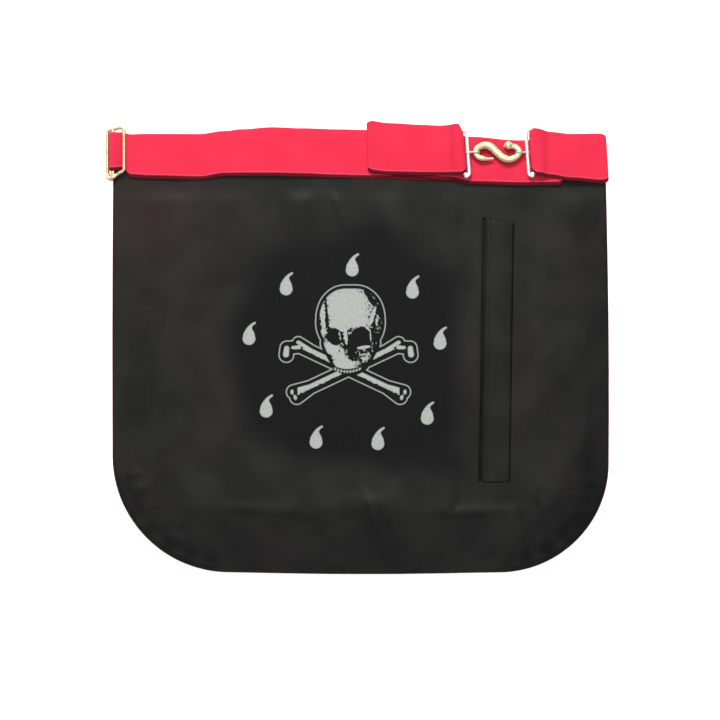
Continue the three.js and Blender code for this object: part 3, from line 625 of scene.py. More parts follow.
@dataclass(frozen=True)
class PlatedWire(Finish):
    """Plated steel wire: a thin bright plating over drawn wire, hazed by handling, with painted shade as a
    darker tint on the sides and underside of each wire, where an attribute is 1."""

    name: str = "gilt_plated_steel"
    slot: Slot = Slot.GILT
    main: str = "#ffebbe"
    worn: str = "#ecc083"
    side_shade_colour: str = "#8a5420"
    roughness: float = 0.38
    haze: float = 3 * MM
    thin: float = 6 * MM

    def values(self) -> dict:
        """Give the shader's even values."""
        return {"Metallic": 1.0}

    def pattern(self) -> list[NodeRow]:
        """Haze in the gloss, plating that is a little thin in places, and painted shade on the wire's sides
        and underside.
        """
        return [
            ("place", "TexCoord", {}, {}),
            ("haze", "TexNoise", {"Scale": 1 / self.haze, "Detail": 3.0}, {"Vector": "place.Object"}),
            ("thin", "TexNoise", {"Scale": 1 / self.thin, "Detail": 2.0}, {"Vector": "place.Object"}),
            ("plating", "MapRange", {**SMOOTH, "From Min": 0.52, "From Max": 0.76}, {"Value": "thin.Fac"}),
            ("recess", "Attribute", {"attribute_name": "recess"}, {}),
            ("tone", "Mix", {**BLEND, 6: colour(self.main), 7: colour(self.worn)}, {0: "plating.Result"}),
            # Painted shade on the wire's sides and underside.
            ("aged", "Mix", {**BLEND, 7: colour(self.side_shade_colour)}, {0: "recess.Fac", 6: "tone.2"}),
            ("gloss", "MapRange", {"From Min": 0.3, "From Max": 0.7, "To Min": self.roughness * 0.8,
                                   "To Max": self.roughness * 1.3}, {"Value": "haze.Fac"}),
        ]

    def feeds(self) -> dict[str, str]:
        """Give the pattern's outputs."""
        return {"Base Color": "aged.2", "Roughness": "gloss.Result"}


@dataclass(frozen=True)
class TransferInk(Finish):
    """Plastisol transfer ink: a matte, slightly grainy film that lies on the cloth and thins at its edge.
    The edge attribute is 1 along the edge of the film."""

    name: str = "bone_white_transfer_ink"
    slot: Slot = Slot.PRINT_INK
    main: str = "#b4b7b1"
    dull: str = "#a3a6a2"
    rim: str = "#858886"
    grain: float = 1.4 * MM

    def values(self) -> dict:
        """Give the shader's even values."""
        return {"Roughness": 0.75, "Specular IOR Level": 0.2}

    def pattern(self) -> list[NodeRow]:
        """A fine grain in tone and height, and a duller edge."""
        return [
            ("place", "TexCoord", {}, {}),
            ("grain", "TexNoise", {"Scale": 1 / self.grain, "Detail": 2.0}, {"Vector": "place.Object"}),
            ("edge", "Attribute", {"attribute_name": "edge"}, {}),
            ("speck", "MapRange", {**SMOOTH, "From Min": 0.35, "From Max": 0.65}, {"Value": "grain.Fac"}),
            ("tone", "Mix", {**BLEND, 6: colour(self.main), 7: colour(self.dull)}, {0: "speck.Result"}),
            ("rimmed", "Mix", {**BLEND, 7: colour(self.rim)}, {0: "edge.Fac", 6: "tone.2"}),
            ("relief", "Bump", {"Distance": 0.03 * MM, "Strength": 0.4}, {"Height": "grain.Fac"}),
        ]

    def feeds(self) -> dict[str, str]:
        """Give the pattern's outputs."""
        return {"Base Color": "rimmed.2", "Normal": "relief.Normal"}


@dataclass(frozen=True)
class SewingThread(Finish):
    """Spun polyester thread, dark and slightly glossy, with a twist that shows as slanted noise."""

    name: str = "black_polyester_thread"
    slot: Slot = Slot.BLACK_SATIN
    shade: str = "#0d0d0d"
    light: str = "#2a2927"
    twist: float = 0.3 * MM

    def values(self) -> dict:
        """Give the shader's even values."""
        return {"Roughness": 0.5, "Specular IOR Level": 0.3}

    def pattern(self) -> list[NodeRow]:
        """The twist's noise between the two shades."""
        return [
            ("place", "TexCoord", {}, {}),
            ("slant", "Mapping", {"Rotation": (0.0, 0.0, 0.6), "Scale": (2.0, 1.0, 2.0)},
             {"Vector": "place.Object"}),
            ("twist", "TexNoise", {"Scale": 1 / self.twist, "Detail": 1.0}, {"Vector": "slant.Vector"}),
            ("tone", "Mix", {**BLEND, 6: colour(self.shade), 7: colour(self.light)}, {0: "twist.Fac"}),
        ]

    def feeds(self) -> dict[str, str]:
        """Give the pattern's outputs."""
        return {"Base Color": "tone.2"}


# The cloth body


@dataclass(frozen=True)
class Ridge:
    """A soft ridge of the cloth: a bell curve both along and across it.

    x, along and across are shares of the apron's width, y of its height; rise is a length.
    """

    x: float
    y: float
    turn: float
    along: float
    across: float
    rise: float


RIDGES = (
    Ridge(0.02, 0.152, 1, 0.3, 0.03, 1.3 * MM),
    Ridge(0.045, 0.09, -66, 0.09, 0.035, 2.4 * MM),
    Ridge(-0.05, 0.06, 82, 0.08, 0.05, 1.2 * MM),
    Ridge(0.3, 0.07, 62, 0.09, 0.035, 2.2 * MM),
    Ridge(0.4, 0.2, 70, 0.12, 0.035, 2.0 * MM),
    Ridge(0.42, 0.5, 58, 0.1, 0.035, 1.6 * MM),
    Ridge(0.43, 0.8, 85, 0.12, 0.04, 1.5 * MM),
    Ridge(-0.4, 0.42, 88, 0.25, 0.05, 1.6 * MM),
    Ridge(-0.33, 0.17, -42, 0.12, 0.04, 2.0 * MM),
    Ridge(-0.12, 0.86, 78, 0.06, 0.035, 1.5 * MM),
    Ridge(0.06, 0.82, -75, 0.06, 0.035, 1.0 * MM),
    Ridge(-0.38, 0.8, 55, 0.1, 0.045, 1.4 * MM),
    Ridge(-0.21, 0.148, -3, 0.085, 0.011, 0.9 * MM),
    Ridge(0.23, 0.145, 3, 0.09, 0.011, 0.9 * MM),
    Ridge(0.364, 0.486, 49, 0.055, 0.010, 0.8 * MM),
    Ridge(0.034, 0.126, -68, 0.1, 0.011, 0.8 * MM),
    Ridge(-0.041, 0.85, -66, 0.05, 0.011, 1.1 * MM),
    Ridge(0.45, 0.29, 88, 0.08, 0.02, 1.5 * MM),
    Ridge(-0.44, 0.163, 30, 0.022, 0.013, -1.1 * MM),
    Ridge(-0.416, 0.119, 35, 0.018, 0.012, -1.0 * MM),
    Ridge(-0.363, 0.095, 45, 0.014, 0.011, -1.0 * MM),
    Ridge(-0.329, 0.051, 60, 0.022, 0.012, -1.1 * MM),
    Ridge(0.366, 0.245, 70, 0.024, 0.016, -1.1 * MM),
    Ridge(0.34, 0.145, 60, 0.026, 0.017, -1.2 * MM),
    Ridge(0.417, 0.093, 45, 0.024, 0.016, -1.1 * MM),
    Ridge(0.263, 0.035, 60, 0.022, 0.015, -1.0 * MM),
)


class Band(NamedTuple):
    """A band along the rounded corners: how far inside the edge it runs, its half width and its rise."""

    inset: float
    width: float
    rise: float

    def over(self, inside: Field) -> Field:
        """Its height at places by how far they lie inside the edge."""
        return self.rise * bell(inside, self.inset, self.width)


SEAM_BUMPS = Band(15 * MM, 8 * MM, 1.2 * MM)
ROLLED_EDGE = Band(4 * MM, 2.4 * MM, 0.4 * MM)
DULL_SEAM = Band(9 * MM, 8 * MM, 0.6)

# Corners of the transfer film's outline in mm about the middle of the print, clockwise
FILM_CORNERS = ((-102, 30), (-64, 92), (28, 116), (92, 66), (92, -92), (-46, -84), (-80, -56))


@dataclass(frozen=True)
class ClothBody:
    """The satin body: its outline, its relief and its two sheets."""

    low: Field
    high: Field
    pocket_low: Field
    pocket_high: Field
    left_radius: float = 95 * MM
    right_radius: float = 88 * MM
    side_spacing: float = 404.5 * MM
    left_bow: float = 0.8 * MM
    right_bow: float = 1.8 * MM
    right_taper: float = 1.8 * MM
    hem_bow: float = 1.5 * MM
    thickness: float = 1.2 * MM
    facing_thickness: float = 1.2 * MM
    facing_show: float = 0.5 * MM
    sag: float = 0.6 * MM
    sag_cell: float = 34 * MM
    crumple: float = 0.2 * MM
    crumple_cell: float = 11 * MM
    corner_fade: float = 20 * MM
    bump_pitch: float = 19 * MM
    bump_drift: float = 31 * MM
    notch: float = 3.4 * MM
    notch_cell: float = 9 * MM
    film_ragged: float = 5 * MM
    film_cell: float = 46 * MM
    film_edge: tuple[float, float] = (-16 * MM, 14 * MM)
    worn_cell: float = 60 * MM
    pocket_width: float = 26.5 * MM
    pocket_lean: float = 3.2 * MM
    flat_margin: float = 26 * MM
    belt_margin: float = 20 * MM
    pocket_slant: float = -0.19
    slant_reach: float = 25 * MM
    belt_below_top: float = 9 * MM
    web_width: float = 40 * MM
    print_reach: float = 96 * MM
    print_x: float = -10.8 * MM
    print_above_hem: float = 173.8 * MM
    grid: float = 2.0 * MM
    edge_steps: int = 5

    @property
    def left(self) -> float:
        """Where the left side starts to bow out."""
        return self.low[0] + self.left_bow

    @property
    def right(self) -> float:
        """Where the right side starts to bow out."""
        return self.left + self.side_spacing

    @property
    def hem(self) -> float:
        """Height of the hem at its corners."""
        return self.low[1] + self.hem_bow

    @property
    def top(self) -> float:
        """Height of the top edge."""
        return self.high[1]

    @property
    def width(self) -> float:
        """Width without the bows."""
        return self.right - self.left

    @property
    def height(self) -> float:
        """Height without the hem's bow."""
        return self.top - self.hem

    @property
    def middle_x(self) -> float:
        """Middle between the sides."""
        return (self.left + self.right) / 2

    @property
    def level(self) -> float:
        """Top of the black panel where the cloth lies flat."""
        return self.low[2] + self.thickness

    @property
    def belt_y(self) -> float:
        """Middle line of the belt."""
        return self.top - self.belt_below_top

    @property
    def pocket_height(self) -> float:
        """Height of the pocket's window."""
        return self.pocket_high[1] - self.pocket_low[1]

    @property
    def pocket_y(self) -> float:
        """Middle of the window's height."""
        return (self.pocket_low[1] + self.pocket_high[1]) / 2

    @property
    def print_centre(self) -> tuple[float, float]:
        """Middle of the printed ring of tears."""
        return self.middle_x + self.print_x, self.hem + self.print_above_hem

    def pocket_middle(self, y: Field) -> Field:
        """Middle line of the pocket, which leans to the right as it rises."""
        middle_x = (self.pocket_low[0] + self.pocket_high[0]) / 2
        return middle_x + self.pocket_lean * (y - self.pocket_y) / self.pocket_height

    def slanted(self, x: Field, y: Field) -> Field:
        """How far places move down so that the pocket's top falls to the right: a slope across the
        pocket, under a bell curve up to its top and a gentler one to either side."""
        offset = x - self.pocket_middle(y)
        half = self.pocket_width / 2
        beyond = np.maximum(np.abs(offset) - half, 0.0) / self.slant_reach
        above = (y - self.pocket_high[1]) / self.slant_reach
        return self.pocket_slant * np.clip(offset, -half, half) * np.exp(-(above**2) - beyond**2)

    def relief(self, x: Field, y: Field) -> Field:
        """Height of the cloth over its lowest level: the sum of the folds and a fine unevenness,
        eased to nothing under the print, the pocket and the belt.

        Args:
            x: Places across.
            y: Places up.

        Returns:
            The heights.
        """
        rise = np.zeros(np.broadcast(x, y).shape)
        for fold in RIDGES:
            dx = x - self.middle_x - fold.x * self.width
            dy = y - self.hem - fold.y * self.height
            angle = math.radians(fold.turn)
            along = (dx * math.cos(angle) + dy * math.sin(angle)) / (fold.along * self.width)
            across = (dy * math.cos(angle) - dx * math.sin(angle)) / (fold.across * self.width)
            rise = rise + fold.rise * np.exp(-(along**2) - across**2)
        uneven = self.sag * (1 + cloudy(x, y, self.sag_cell, 5, 2))
        uneven = uneven + self.crumple * cloudy(x, y, self.crumple_cell, 9, 2)
        loose = self.off_pocket(x, y) * self.off_print(x, y) * self.off_belt(y)
        return np.maximum(rise + uneven, 0.0) * loose + self.puckers(x, y)

    def off_pocket(self, x: Field, y: Field) -> Field:
        """0 on the pocket and 1 a margin away from it."""
        beyond_x = np.abs(x - self.pocket_middle(y)) - self.pocket_width / 2
        beyond_y = np.abs(y - self.pocket_y) - self.pocket_height / 2
        return ease(np.maximum(beyond_x, beyond_y), self.flat_margin / 2, self.flat_margin)

    def off_print(self, x: Field, y: Field) -> Field:
        """0 on the print and 1 a margin away from it."""
        centre = self.print_centre
        reach = np.hypot(x - centre[0], y - centre[1])
        return ease(reach, self.print_reach, self.print_reach + self.flat_margin)

    def off_belt(self, y: Field) -> Field:
        """0 under the belt and 1 a margin below it."""
        lower = self.belt_y - self.web_width / 2
        return 1 - ease(y, lower - self.belt_margin, lower - self.belt_margin / 4)

    def corners(self, x: Field, y: Field) -> Iterator[tuple[Field, Field, Field]]:
        """For each rounded corner, how far places lie inside its arc and along it, and the share of
        them that lies beside it.

        Args:
            x: Places across.
            y: Places up.

        Yields:
            The three fields of a corner.
        """
        for side, radius in ((-1, self.left_radius), (1, self.right_radius)):
            centre_x = (self.left if side < 0 else self.right) - side * radius
            dx = (x - centre_x) * side
            dy = self.hem + radius - y
            arc = np.arctan2(dy, np.maximum(dx, 1e-6)) * radius
            beside = ease(dx, 0.0, self.corner_fade) * ease(dy, 0.0, self.corner_fade)
            yield radius - np.hypot(dx, dy), arc, beside

    def puckers(self, x: Field, y: Field) -> Field:
        """Small bumps of the notched seam allowance inside the rounded corners, a wave along the
        arc under a bell curve across it, and the rolled edge outside them."""
        bumps = np.zeros(np.broadcast(x, y).shape)
        for inside, arc, beside in self.corners(x, y):
            drift = 2.2 * np.sin(arc / self.bump_drift)
            wave = 0.5 + 0.5 * np.cos(2 * np.pi * arc / self.bump_pitch + drift)
            bumps = bumps + (wave * SEAM_BUMPS.over(inside) + ROLLED_EDGE.over(inside)) * beside
        return bumps

    def inset(self, radius: float, above: Field) -> Field:
        """How far a rounded corner pulls the side in: r - sqrt(r² - (r - h)²) below the radius."""
        drop = np.maximum(radius - above, 0.0)
        return radius - np.sqrt(np.maximum(radius**2 - drop**2, 0.0))

    def points(self, outset: float, windowed: bool) -> tuple[Field, slice, slice]:
        """Places of a grid over the outline, whose columns follow the pocket's window beside it.

        Args:
            outset: How far the outline is grown.
            windowed: Whether columns and rows fall on the window's edges.

        Returns:
            The (rows, columns, 2) places, and the rows and columns of quads inside the window.
        """
        radius = max(self.left_radius, self.right_radius)
        window_low = self.pocket_low[1] - self.hem
        window_high = self.pocket_high[1] - self.hem
        steepest = math.acos(1 - window_low / radius)
        corner = radius * (1 - np.cos(np.linspace(0.0, steepest, int(radius * steepest / self.grid))))
        body = np.linspace(window_low, window_high, int((window_high - window_low) / self.grid))
        upper = np.linspace(window_high, self.height, int((self.height - window_high) / self.grid))
        above = np.concatenate([corner[:-1], body, upper[1:]])[:, None]
        columns = int(self.width / self.grid)
        share = np.linspace(0.0, 1.0, columns + 1)[None, :]
        bulge = np.sin(np.pi * above / self.height)
        left = self.left - self.left_bow * bulge + self.inset(self.left_radius, above)
        taper = self.right_taper * (above / self.height) ** 2
        right = self.right + self.right_bow * bulge - taper - self.inset(self.right_radius, above)
        y = self.hem + above - self.hem_bow * np.sin(np.pi * share) * (1 - ease(above, 0.0, radius))
        x = mix(left, right, share)
        middle = self.pocket_middle(self.hem + above)
        first = round((self.pocket_middle(np.zeros(1))[0] - self.pocket_width / 2 - self.left)
                      / self.width * columns)
        last = first + round(self.pocket_width / self.width * columns)
        knots = [0.0, first / columns, last / columns, 1.0]
        sides = [left, middle - self.pocket_width / 2, middle + self.pocket_width / 2, right]
        fitted = np.empty_like(x)
        for knot, next_knot, side, next_side in zip(knots, knots[1:], sides, sides[1:]):
            inside = (share >= knot - 1e-9) & (share <= next_knot + 1e-9)
            section = mix(side, next_side, (share - knot) / (next_knot - knot))
            fitted = np.where(inside, section, fitted)
        x = mix(x, fitted, ease(above, window_low * 0.3, window_low))
        spread = outset * 2 / self.width
        x = x + (x - self.middle_x) * spread
        y = y + (y - (self.hem + self.top) / 2) * outset * 2 / self.height
        y = y + self.slanted(x, y)
        rows = slice(len(corner) - 1, len(corner) - 1 + len(body) - 1) if windowed else slice(0, 0)
        return np.stack([np.broadcast_to(x, y.shape), y], axis=-1), rows, slice(first, last)

    def sheet(self, shell: Shell, low: float, thickness: float, outset: float, windowed: bool) -> float:
        """Add one sheet as a closed shell: a top and an underside that follow the relief, joined
        round every free edge by a half-round rim.

        Args:
            shell: Where the sheet goes.
            low: Level of its underside.
            thickness: Its thickness.
            outset: How far its outline is grown.
            windowed: Whether the pocket's window is cut.

        Returns:
            The sheet's flat area.
        """
        place, rows, columns = self.points(outset - thickness / 2, windowed)
        count, across, _ = place.shape
        x, y = place[..., 0].ravel(), place[..., 1].ravel()
        kept = np.ones((count - 1, across - 1), dtype=bool)
        if windowed:
            kept[rows, columns] = False
        quads = lattice_quads(count, across)[kept.ravel()]
        used, quads = np.unique(quads, return_inverse=True)
        quads = quads.reshape(-1, 4)
        x, y = x[used], y[used]
        area = 0.5 * abs(np.sum((x[quads[:, 2]] - x[quads[:, 0]]) * (y[quads[:, 3]] - y[quads[:, 1]])
                                - (x[quads[:, 3]] - x[quads[:, 1]]) * (y[quads[:, 2]] - y[quads[:, 0]])))
        relief = self.relief(x, y)
        film = self.film(x, y)
        number = len(used)
        edges = np.vstack([quads[:, [k, (k + 1) % 4]] for k in range(4)])
        code = edges[:, 0] * number + edges[:, 1]
        free = edges[~np.isin(edges[:, 1] * number + edges[:, 0], code)]
        run = np.stack([x[free[:, 1]] - x[free[:, 0]], y[free[:, 1]] - y[free[:, 0]]], axis=1)
        outward = np.stack([run[:, 1], -run[:, 0]], axis=1)
        push = np.zeros((number, 2))
        for end in (0, 1):
            np.add.at(push, free[:, end], outward)
        rim = np.unique(free)
        push = push[rim] / np.linalg.norm(push[rim], axis=1, keepdims=True)
        where = np.zeros(number, dtype=int)
        where[rim] = np.arange(len(rim))
        middle = low + thickness / 2 + relief
        levels = [np.column_stack([x, y, middle + thickness / 2])]
        for step in range(1, self.edge_steps):
            angle = np.pi * step / self.edge_steps
            out = thickness / 2 * math.sin(angle)
            z = middle[rim] + thickness / 2 * math.cos(angle)
            levels.append(np.column_stack([x[rim] + push[:, 0] * out, y[rim] + push[:, 1] * out, z]))
        levels.append(np.column_stack([x, y, middle - thickness / 2]))
        faces = [quads, quads[:, ::-1] + number + (self.edge_steps - 1) * len(rim)]
        starts = [0] + [number + step * len(rim) for step in range(self.edge_steps)]
        a, b = free[:, 0], free[:, 1]
        for step in range(self.edge_steps):
            upper_a, upper_b = (a, b) if step == 0 else (where[a], where[b])
            lower_a, lower_b = (a, b) if step == self.edge_steps - 1 else (where[a], where[b])
            faces.append(np.stack([upper_b + starts[step], upper_a + starts[step],
                                   lower_a + starts[step + 1], lower_b + starts[step + 1]], axis=1))
        shades = {}
        for key, values in (("film", film), ("worn", self.worn(x, y))):
            shades[key] = np.concatenate([values, *[values[rim]] * (self.edge_steps - 1), values])
        shell.add(np.vstack(levels), np.vstack(faces), None, **shades)
        return area

    def film(self, x: Field, y: Field) -> Field:
        """Share of dull, darker cloth: the transfer film round the print, a soft-edged polygon; painted
        shade towards the hem and the right side; and a band over the notched seam inside the corners.

        Args:
            x: Places across.
            y: Places up.

        Returns:
            The shares, from 0 to 1.
        """
        reach = np.full(np.broadcast(x, y).shape, -1.0)
        for (x0, y0), (x1, y1) in zip(FILM_CORNERS, FILM_CORNERS[1:] + FILM_CORNERS[:1]):
            dx = x - self.print_centre[0] - x0 * MM
            dy = y - self.print_centre[1] - y0 * MM
            reach = np.maximum(reach, (dx * (y0 - y1) + dy * (x1 - x0)) / math.hypot(x1 - x0, y1 - y0))
        ragged = self.film_ragged * cloudy(x, y, self.film_cell, 21, 2)
        patch = 1 - ease(reach + ragged, *self.film_edge)
        # Painted shade: the cloth darkens towards the hem and the right side, as the light falls off there.
        down = 1 - (y - self.hem) / self.height
        hem_shade = 0.5 * ease(down, 0.74, 1.0)
        right_side_shade = 0.8 * ease((x - self.left) / self.width, 0.84, 1.0) * np.clip(down, 0.2, 1.0)
        dull = hem_shade + right_side_shade
        for inside, arc, beside in self.corners(x, y):
            notches = 0.6 + 0.4 * np.sin(arc / self.notch) + 0.3 * cloudy(x, y, self.notch_cell, 25, 2)
            dull = dull + notches * DULL_SEAM.over(inside) * beside
        return np.clip(np.maximum(patch, dull), 0.0, 1.0)

    def worn(self, x: Field, y: Field) -> Field:
        """Share of lighter, browner cloth: a painted sheen in a soft patch at the upper left, and faded
        cloth in faint clouds over the rest.

        Args:
            x: Places across.
            y: Places up.

        Returns:
            The shares, from 0 to 1.
        """
        across = (x - self.left) / self.width
        up = (y - self.hem) / self.height
        # Painted sheen: a lighter, browner patch at the upper left, where the satin catches the light.
        corner = bell(across, 0.08, 0.13) * bell(up, 0.86, 0.17)
        cloud = ease(cloudy(x, y, self.worn_cell, 13, 3), 0.05, 0.6)
        return np.clip(0.75 * corner + 0.3 * cloud, 0.0, 1.0)

    def build(self) -> None:
        """Make the black panel with its window, and the red facing under it."""
        panel = Shell()
        area = self.sheet(panel, self.low[2], self.thickness, 0.0, True)
        obj = panel.piece("black_satin_panel", PolyesterSatin(), ["back_panel"])
        facing = Shell()
        facing_area = self.sheet(facing, 0.0, self.facing_thickness, self.facing_show, False)
        red = PolyesterSatin(name="red_polyester_satin", slot=Slot.RED_SATIN, main="#8c1526", deep="#7d0f20",
                             worn="#9a1a2c", film="#8c1526", streak="#9a1a2c")
        front = facing.piece("red_satin_facing", red, ["front_facing"])


@dataclass(frozen=True)
class GlovePocket:
    """The pocket in the panel: a welt strip with a folded edge, and a strip of the bag under it."""

    body: ClothBody
    mouth: float = 2.5 * MM
    seam_gap: float = 1.5 * MM
    welt_thickness: float = 1.5 * MM
    fold_radius: float = 0.75 * MM
    end_gap: float = 0.3 * MM
    lip: float = 0.4 * MM
    crown: float = 0.5 * MM
    fall: float = 0.35 * MM
    unevenness: float = 0.25 * MM
    wander: float = 0.35 * MM
    bag_margin: float = 9 * MM
    bag_thickness: float = 0.2 * MM
    bag_depth: float = 0.27 * MM
    seam_below: float = 1.6 * MM
    seam_above: float = 1.4 * MM
    stitch_pitch: float = 2.6 * MM
    stitch_share: float = 0.62
    stitch_bow: float = 0.18 * MM
    thread: float = 0.5 * MM

    def welt(self) -> None:
        """Sweep the welt's section up the leaning window: a rounded fold on the left, then a slack
        crown that falls to the seam on the right."""
        body = self.body
        low, high = body.pocket_low[1] + self.end_gap, body.pocket_high[1] - self.end_gap
        y = np.linspace(low, high, 150)
        half = body.pocket_width / 2
        left, right = -half + self.mouth, half - self.seam_gap
        across = np.linspace(0.0, 1.0, 22)
        base = body.low[2]
        fold = self.fold_radius
        crown = self.crown * np.sin(np.pi * across) ** 0.7 + self.lip * bell(across, 0.07, 0.06)
        top = base + self.welt_thickness - self.fall * across + crown
        arc = np.linspace(np.pi / 2, np.pi * 1.5, 9)[1:-1]
        over = np.column_stack([left + fold + (right - left - fold) * across, top])
        turned = np.column_stack([left + fold + fold * np.cos(arc), base + fold + fold * np.sin(arc)])
        under = np.column_stack([np.linspace(left + fold, right, 8), np.full(8, base)])
        section = np.vstack([over[::-1], turned, under])
        uneven = self.unevenness * cloudy(section[None, :, 0], y[:, None], 24 * MM, 31, 2)
        uneven = uneven * (section[None, :, 1] > base + 0.2 * MM)
        # The folded side wanders, and the sewn one keeps to the window
        wander = self.wander * lattice_noise(y, y * 0, 40 * MM, 33)[:, None] * (section[None, :, 0] < 0)
        x = body.pocket_middle(y)[:, None] + section[None, :, 0] + wander
        up = y[:, None] + body.slanted(x, np.broadcast_to(y[:, None], x.shape))
        rings = np.stack([x, up, section[None, :, 1] + uneven], axis=-1)
        shell = Shell()
        shell.rings(rings[:, ::-1], False, film=np.zeros(x.shape), worn=np.zeros(x.shape))
        obj = shell.piece("pocket_welt_satin", PolyesterSatin(), ["pocket_welt"])

    def bag(self) -> None:
        """Lay a strip of the pocket's bag under the window, so that the mouth is dark inside."""
        body = self.body
        y = np.linspace(body.pocket_low[1] - self.bag_margin, body.pocket_high[1] + self.bag_margin, 60)
        half = body.pocket_width / 2 + self.bag_margin
        middle = body.pocket_middle(y)
        low = body.low[2] - self.bag_depth
        thick = self.bag_thickness
        section = np.array([[-half, 0.0], [half, 0.0], [half, thick], [-half, thick]])
        x = middle[:, None] + section[None, :, 0]
        up = np.broadcast_to(y[:, None], x.shape)
        rings = np.stack([x, up, low + section[None, :, 1] + body.relief(x, up)], axis=-1)
        shell = Shell()
        shell.rings(rings[:, ::-1], False, film=np.zeros(x.shape), worn=np.zeros(x.shape))
        obj = shell.piece("pocket_bag_satin", PolyesterSatin())

    def stitches(self) -> None:
        """Sew a row of short stitches across each end of the pocket."""
        body = self.body
        starts, ends = [], []
        half = body.pocket_width / 2
        level = body.level + 0.05 * MM
        rows = ((body.pocket_low[1] - self.seam_below, 0.0),
                (body.pocket_high[1] + self.seam_above, body.pocket_slant))
        for y, tilt in rows:
            count = round(body.pocket_width / self.stitch_pitch)
            offset = np.linspace(-half, half, count + 1)[:-1] + self.stitch_pitch * 0.2
            x = body.pocket_middle(np.full(count, y)) + offset
            row = y + tilt * offset
            starts.append(np.column_stack([x, row, np.full(count, level)]))
            reach = self.stitch_pitch * self.stitch_share
            ends.append(np.column_stack([x + reach, row, np.full(count, level)]))
        bow = np.array([0.0, 0.75, 1.0, 0.75, 0.0])
        shell = Shell()
        for start, end in zip(np.vstack(starts), np.vstack(ends)):
            path = np.linspace(start, end, bow.size)
            path[:, 2] += self.stitch_bow * bow
            shell.tube(path, self.thread / 2 * (0.55 + 0.45 * bow), sides=8)
        shell.piece("pocket_stitches", SewingThread())

    def build(self) -> None:
        """Make the welt, the bag under it and the stitches at its ends."""
        self.bag()
        self.welt()
        self.stitches()


# The belt


@dataclass(frozen=True)
class Station:
    """A row of a belt table. at is a share of the apron's width from its middle, offset and width
    are shares of the webbing's width, and rise is a length."""

    at: float
    offset: float
    width: float
    rise: float = 0.0
    roll: float = 0.0


LOWER_RUN = (
    Station(-0.5, 0.065, 0.79),
    Station(-0.481, 0.075, 0.77),
    Station(-0.466, -0.02, 0.885),
    Station(-0.426, -0.0275, 0.918, 0.2 * MM),
    Station(-0.325, -0.0375, 0.94, 0.6 * MM, 0.2 * MM),
    Station(-0.276, 0.026, 0.93, 1.6 * MM, 0.4 * MM),
    Station(-0.24, 0.047, 0.96, 2.2 * MM, 0.5 * MM),
    Station(-0.179, 0.067, 1.0, 2.6 * MM, 0.7 * MM),
    Station(-0.122, 0.052, 0.994, 1.8 * MM, 0.5 * MM),
    Station(-0.045, 0.028, 1.0, 0.5 * MM, 0.2 * MM),
    Station(0.004, 0.017, 1.0),
    Station(0.18, -0.045, 0.965),
    Station(0.2225, -0.112, 0.985),
    Station(0.328, -0.165, 0.93),
    Station(0.405, -0.145, 0.95),
)
MIDDLE_RUN = (
    Station(0.013, 0.167, 1.08),
    Station(0.1, 0.05, 1.0),
    Station(0.18, -0.035, 0.965),
    Station(0.2225, -0.118, 0.975),
    Station(0.328, -0.165, 0.93),
    Station(0.405, -0.145, 0.95),
)
UPPER_RUN = (
    Station(0.013, 0.167, 1.08),
    Station(0.06, 0.121, 1.06),
    Station(0.129, 0.095, 1.035),
    Station(0.164, 0.085, 1.02),
    Station(0.198, 0.1, 1.05),
)
RIGHT_RUN = (
    Station(0.358, 0.052, 0.966),
    Station(0.383, 0.0, 0.94),
    Station(0.427, -0.055, 0.96),
    Station(0.486, -0.072, 1.015),
)


@dataclass(frozen=True)
class Fold:
    """A fold of the webbing: where it ends across, which way its end faces, and how far that end
    slants, in degrees."""

    end: float
    facing: int
    slant: float


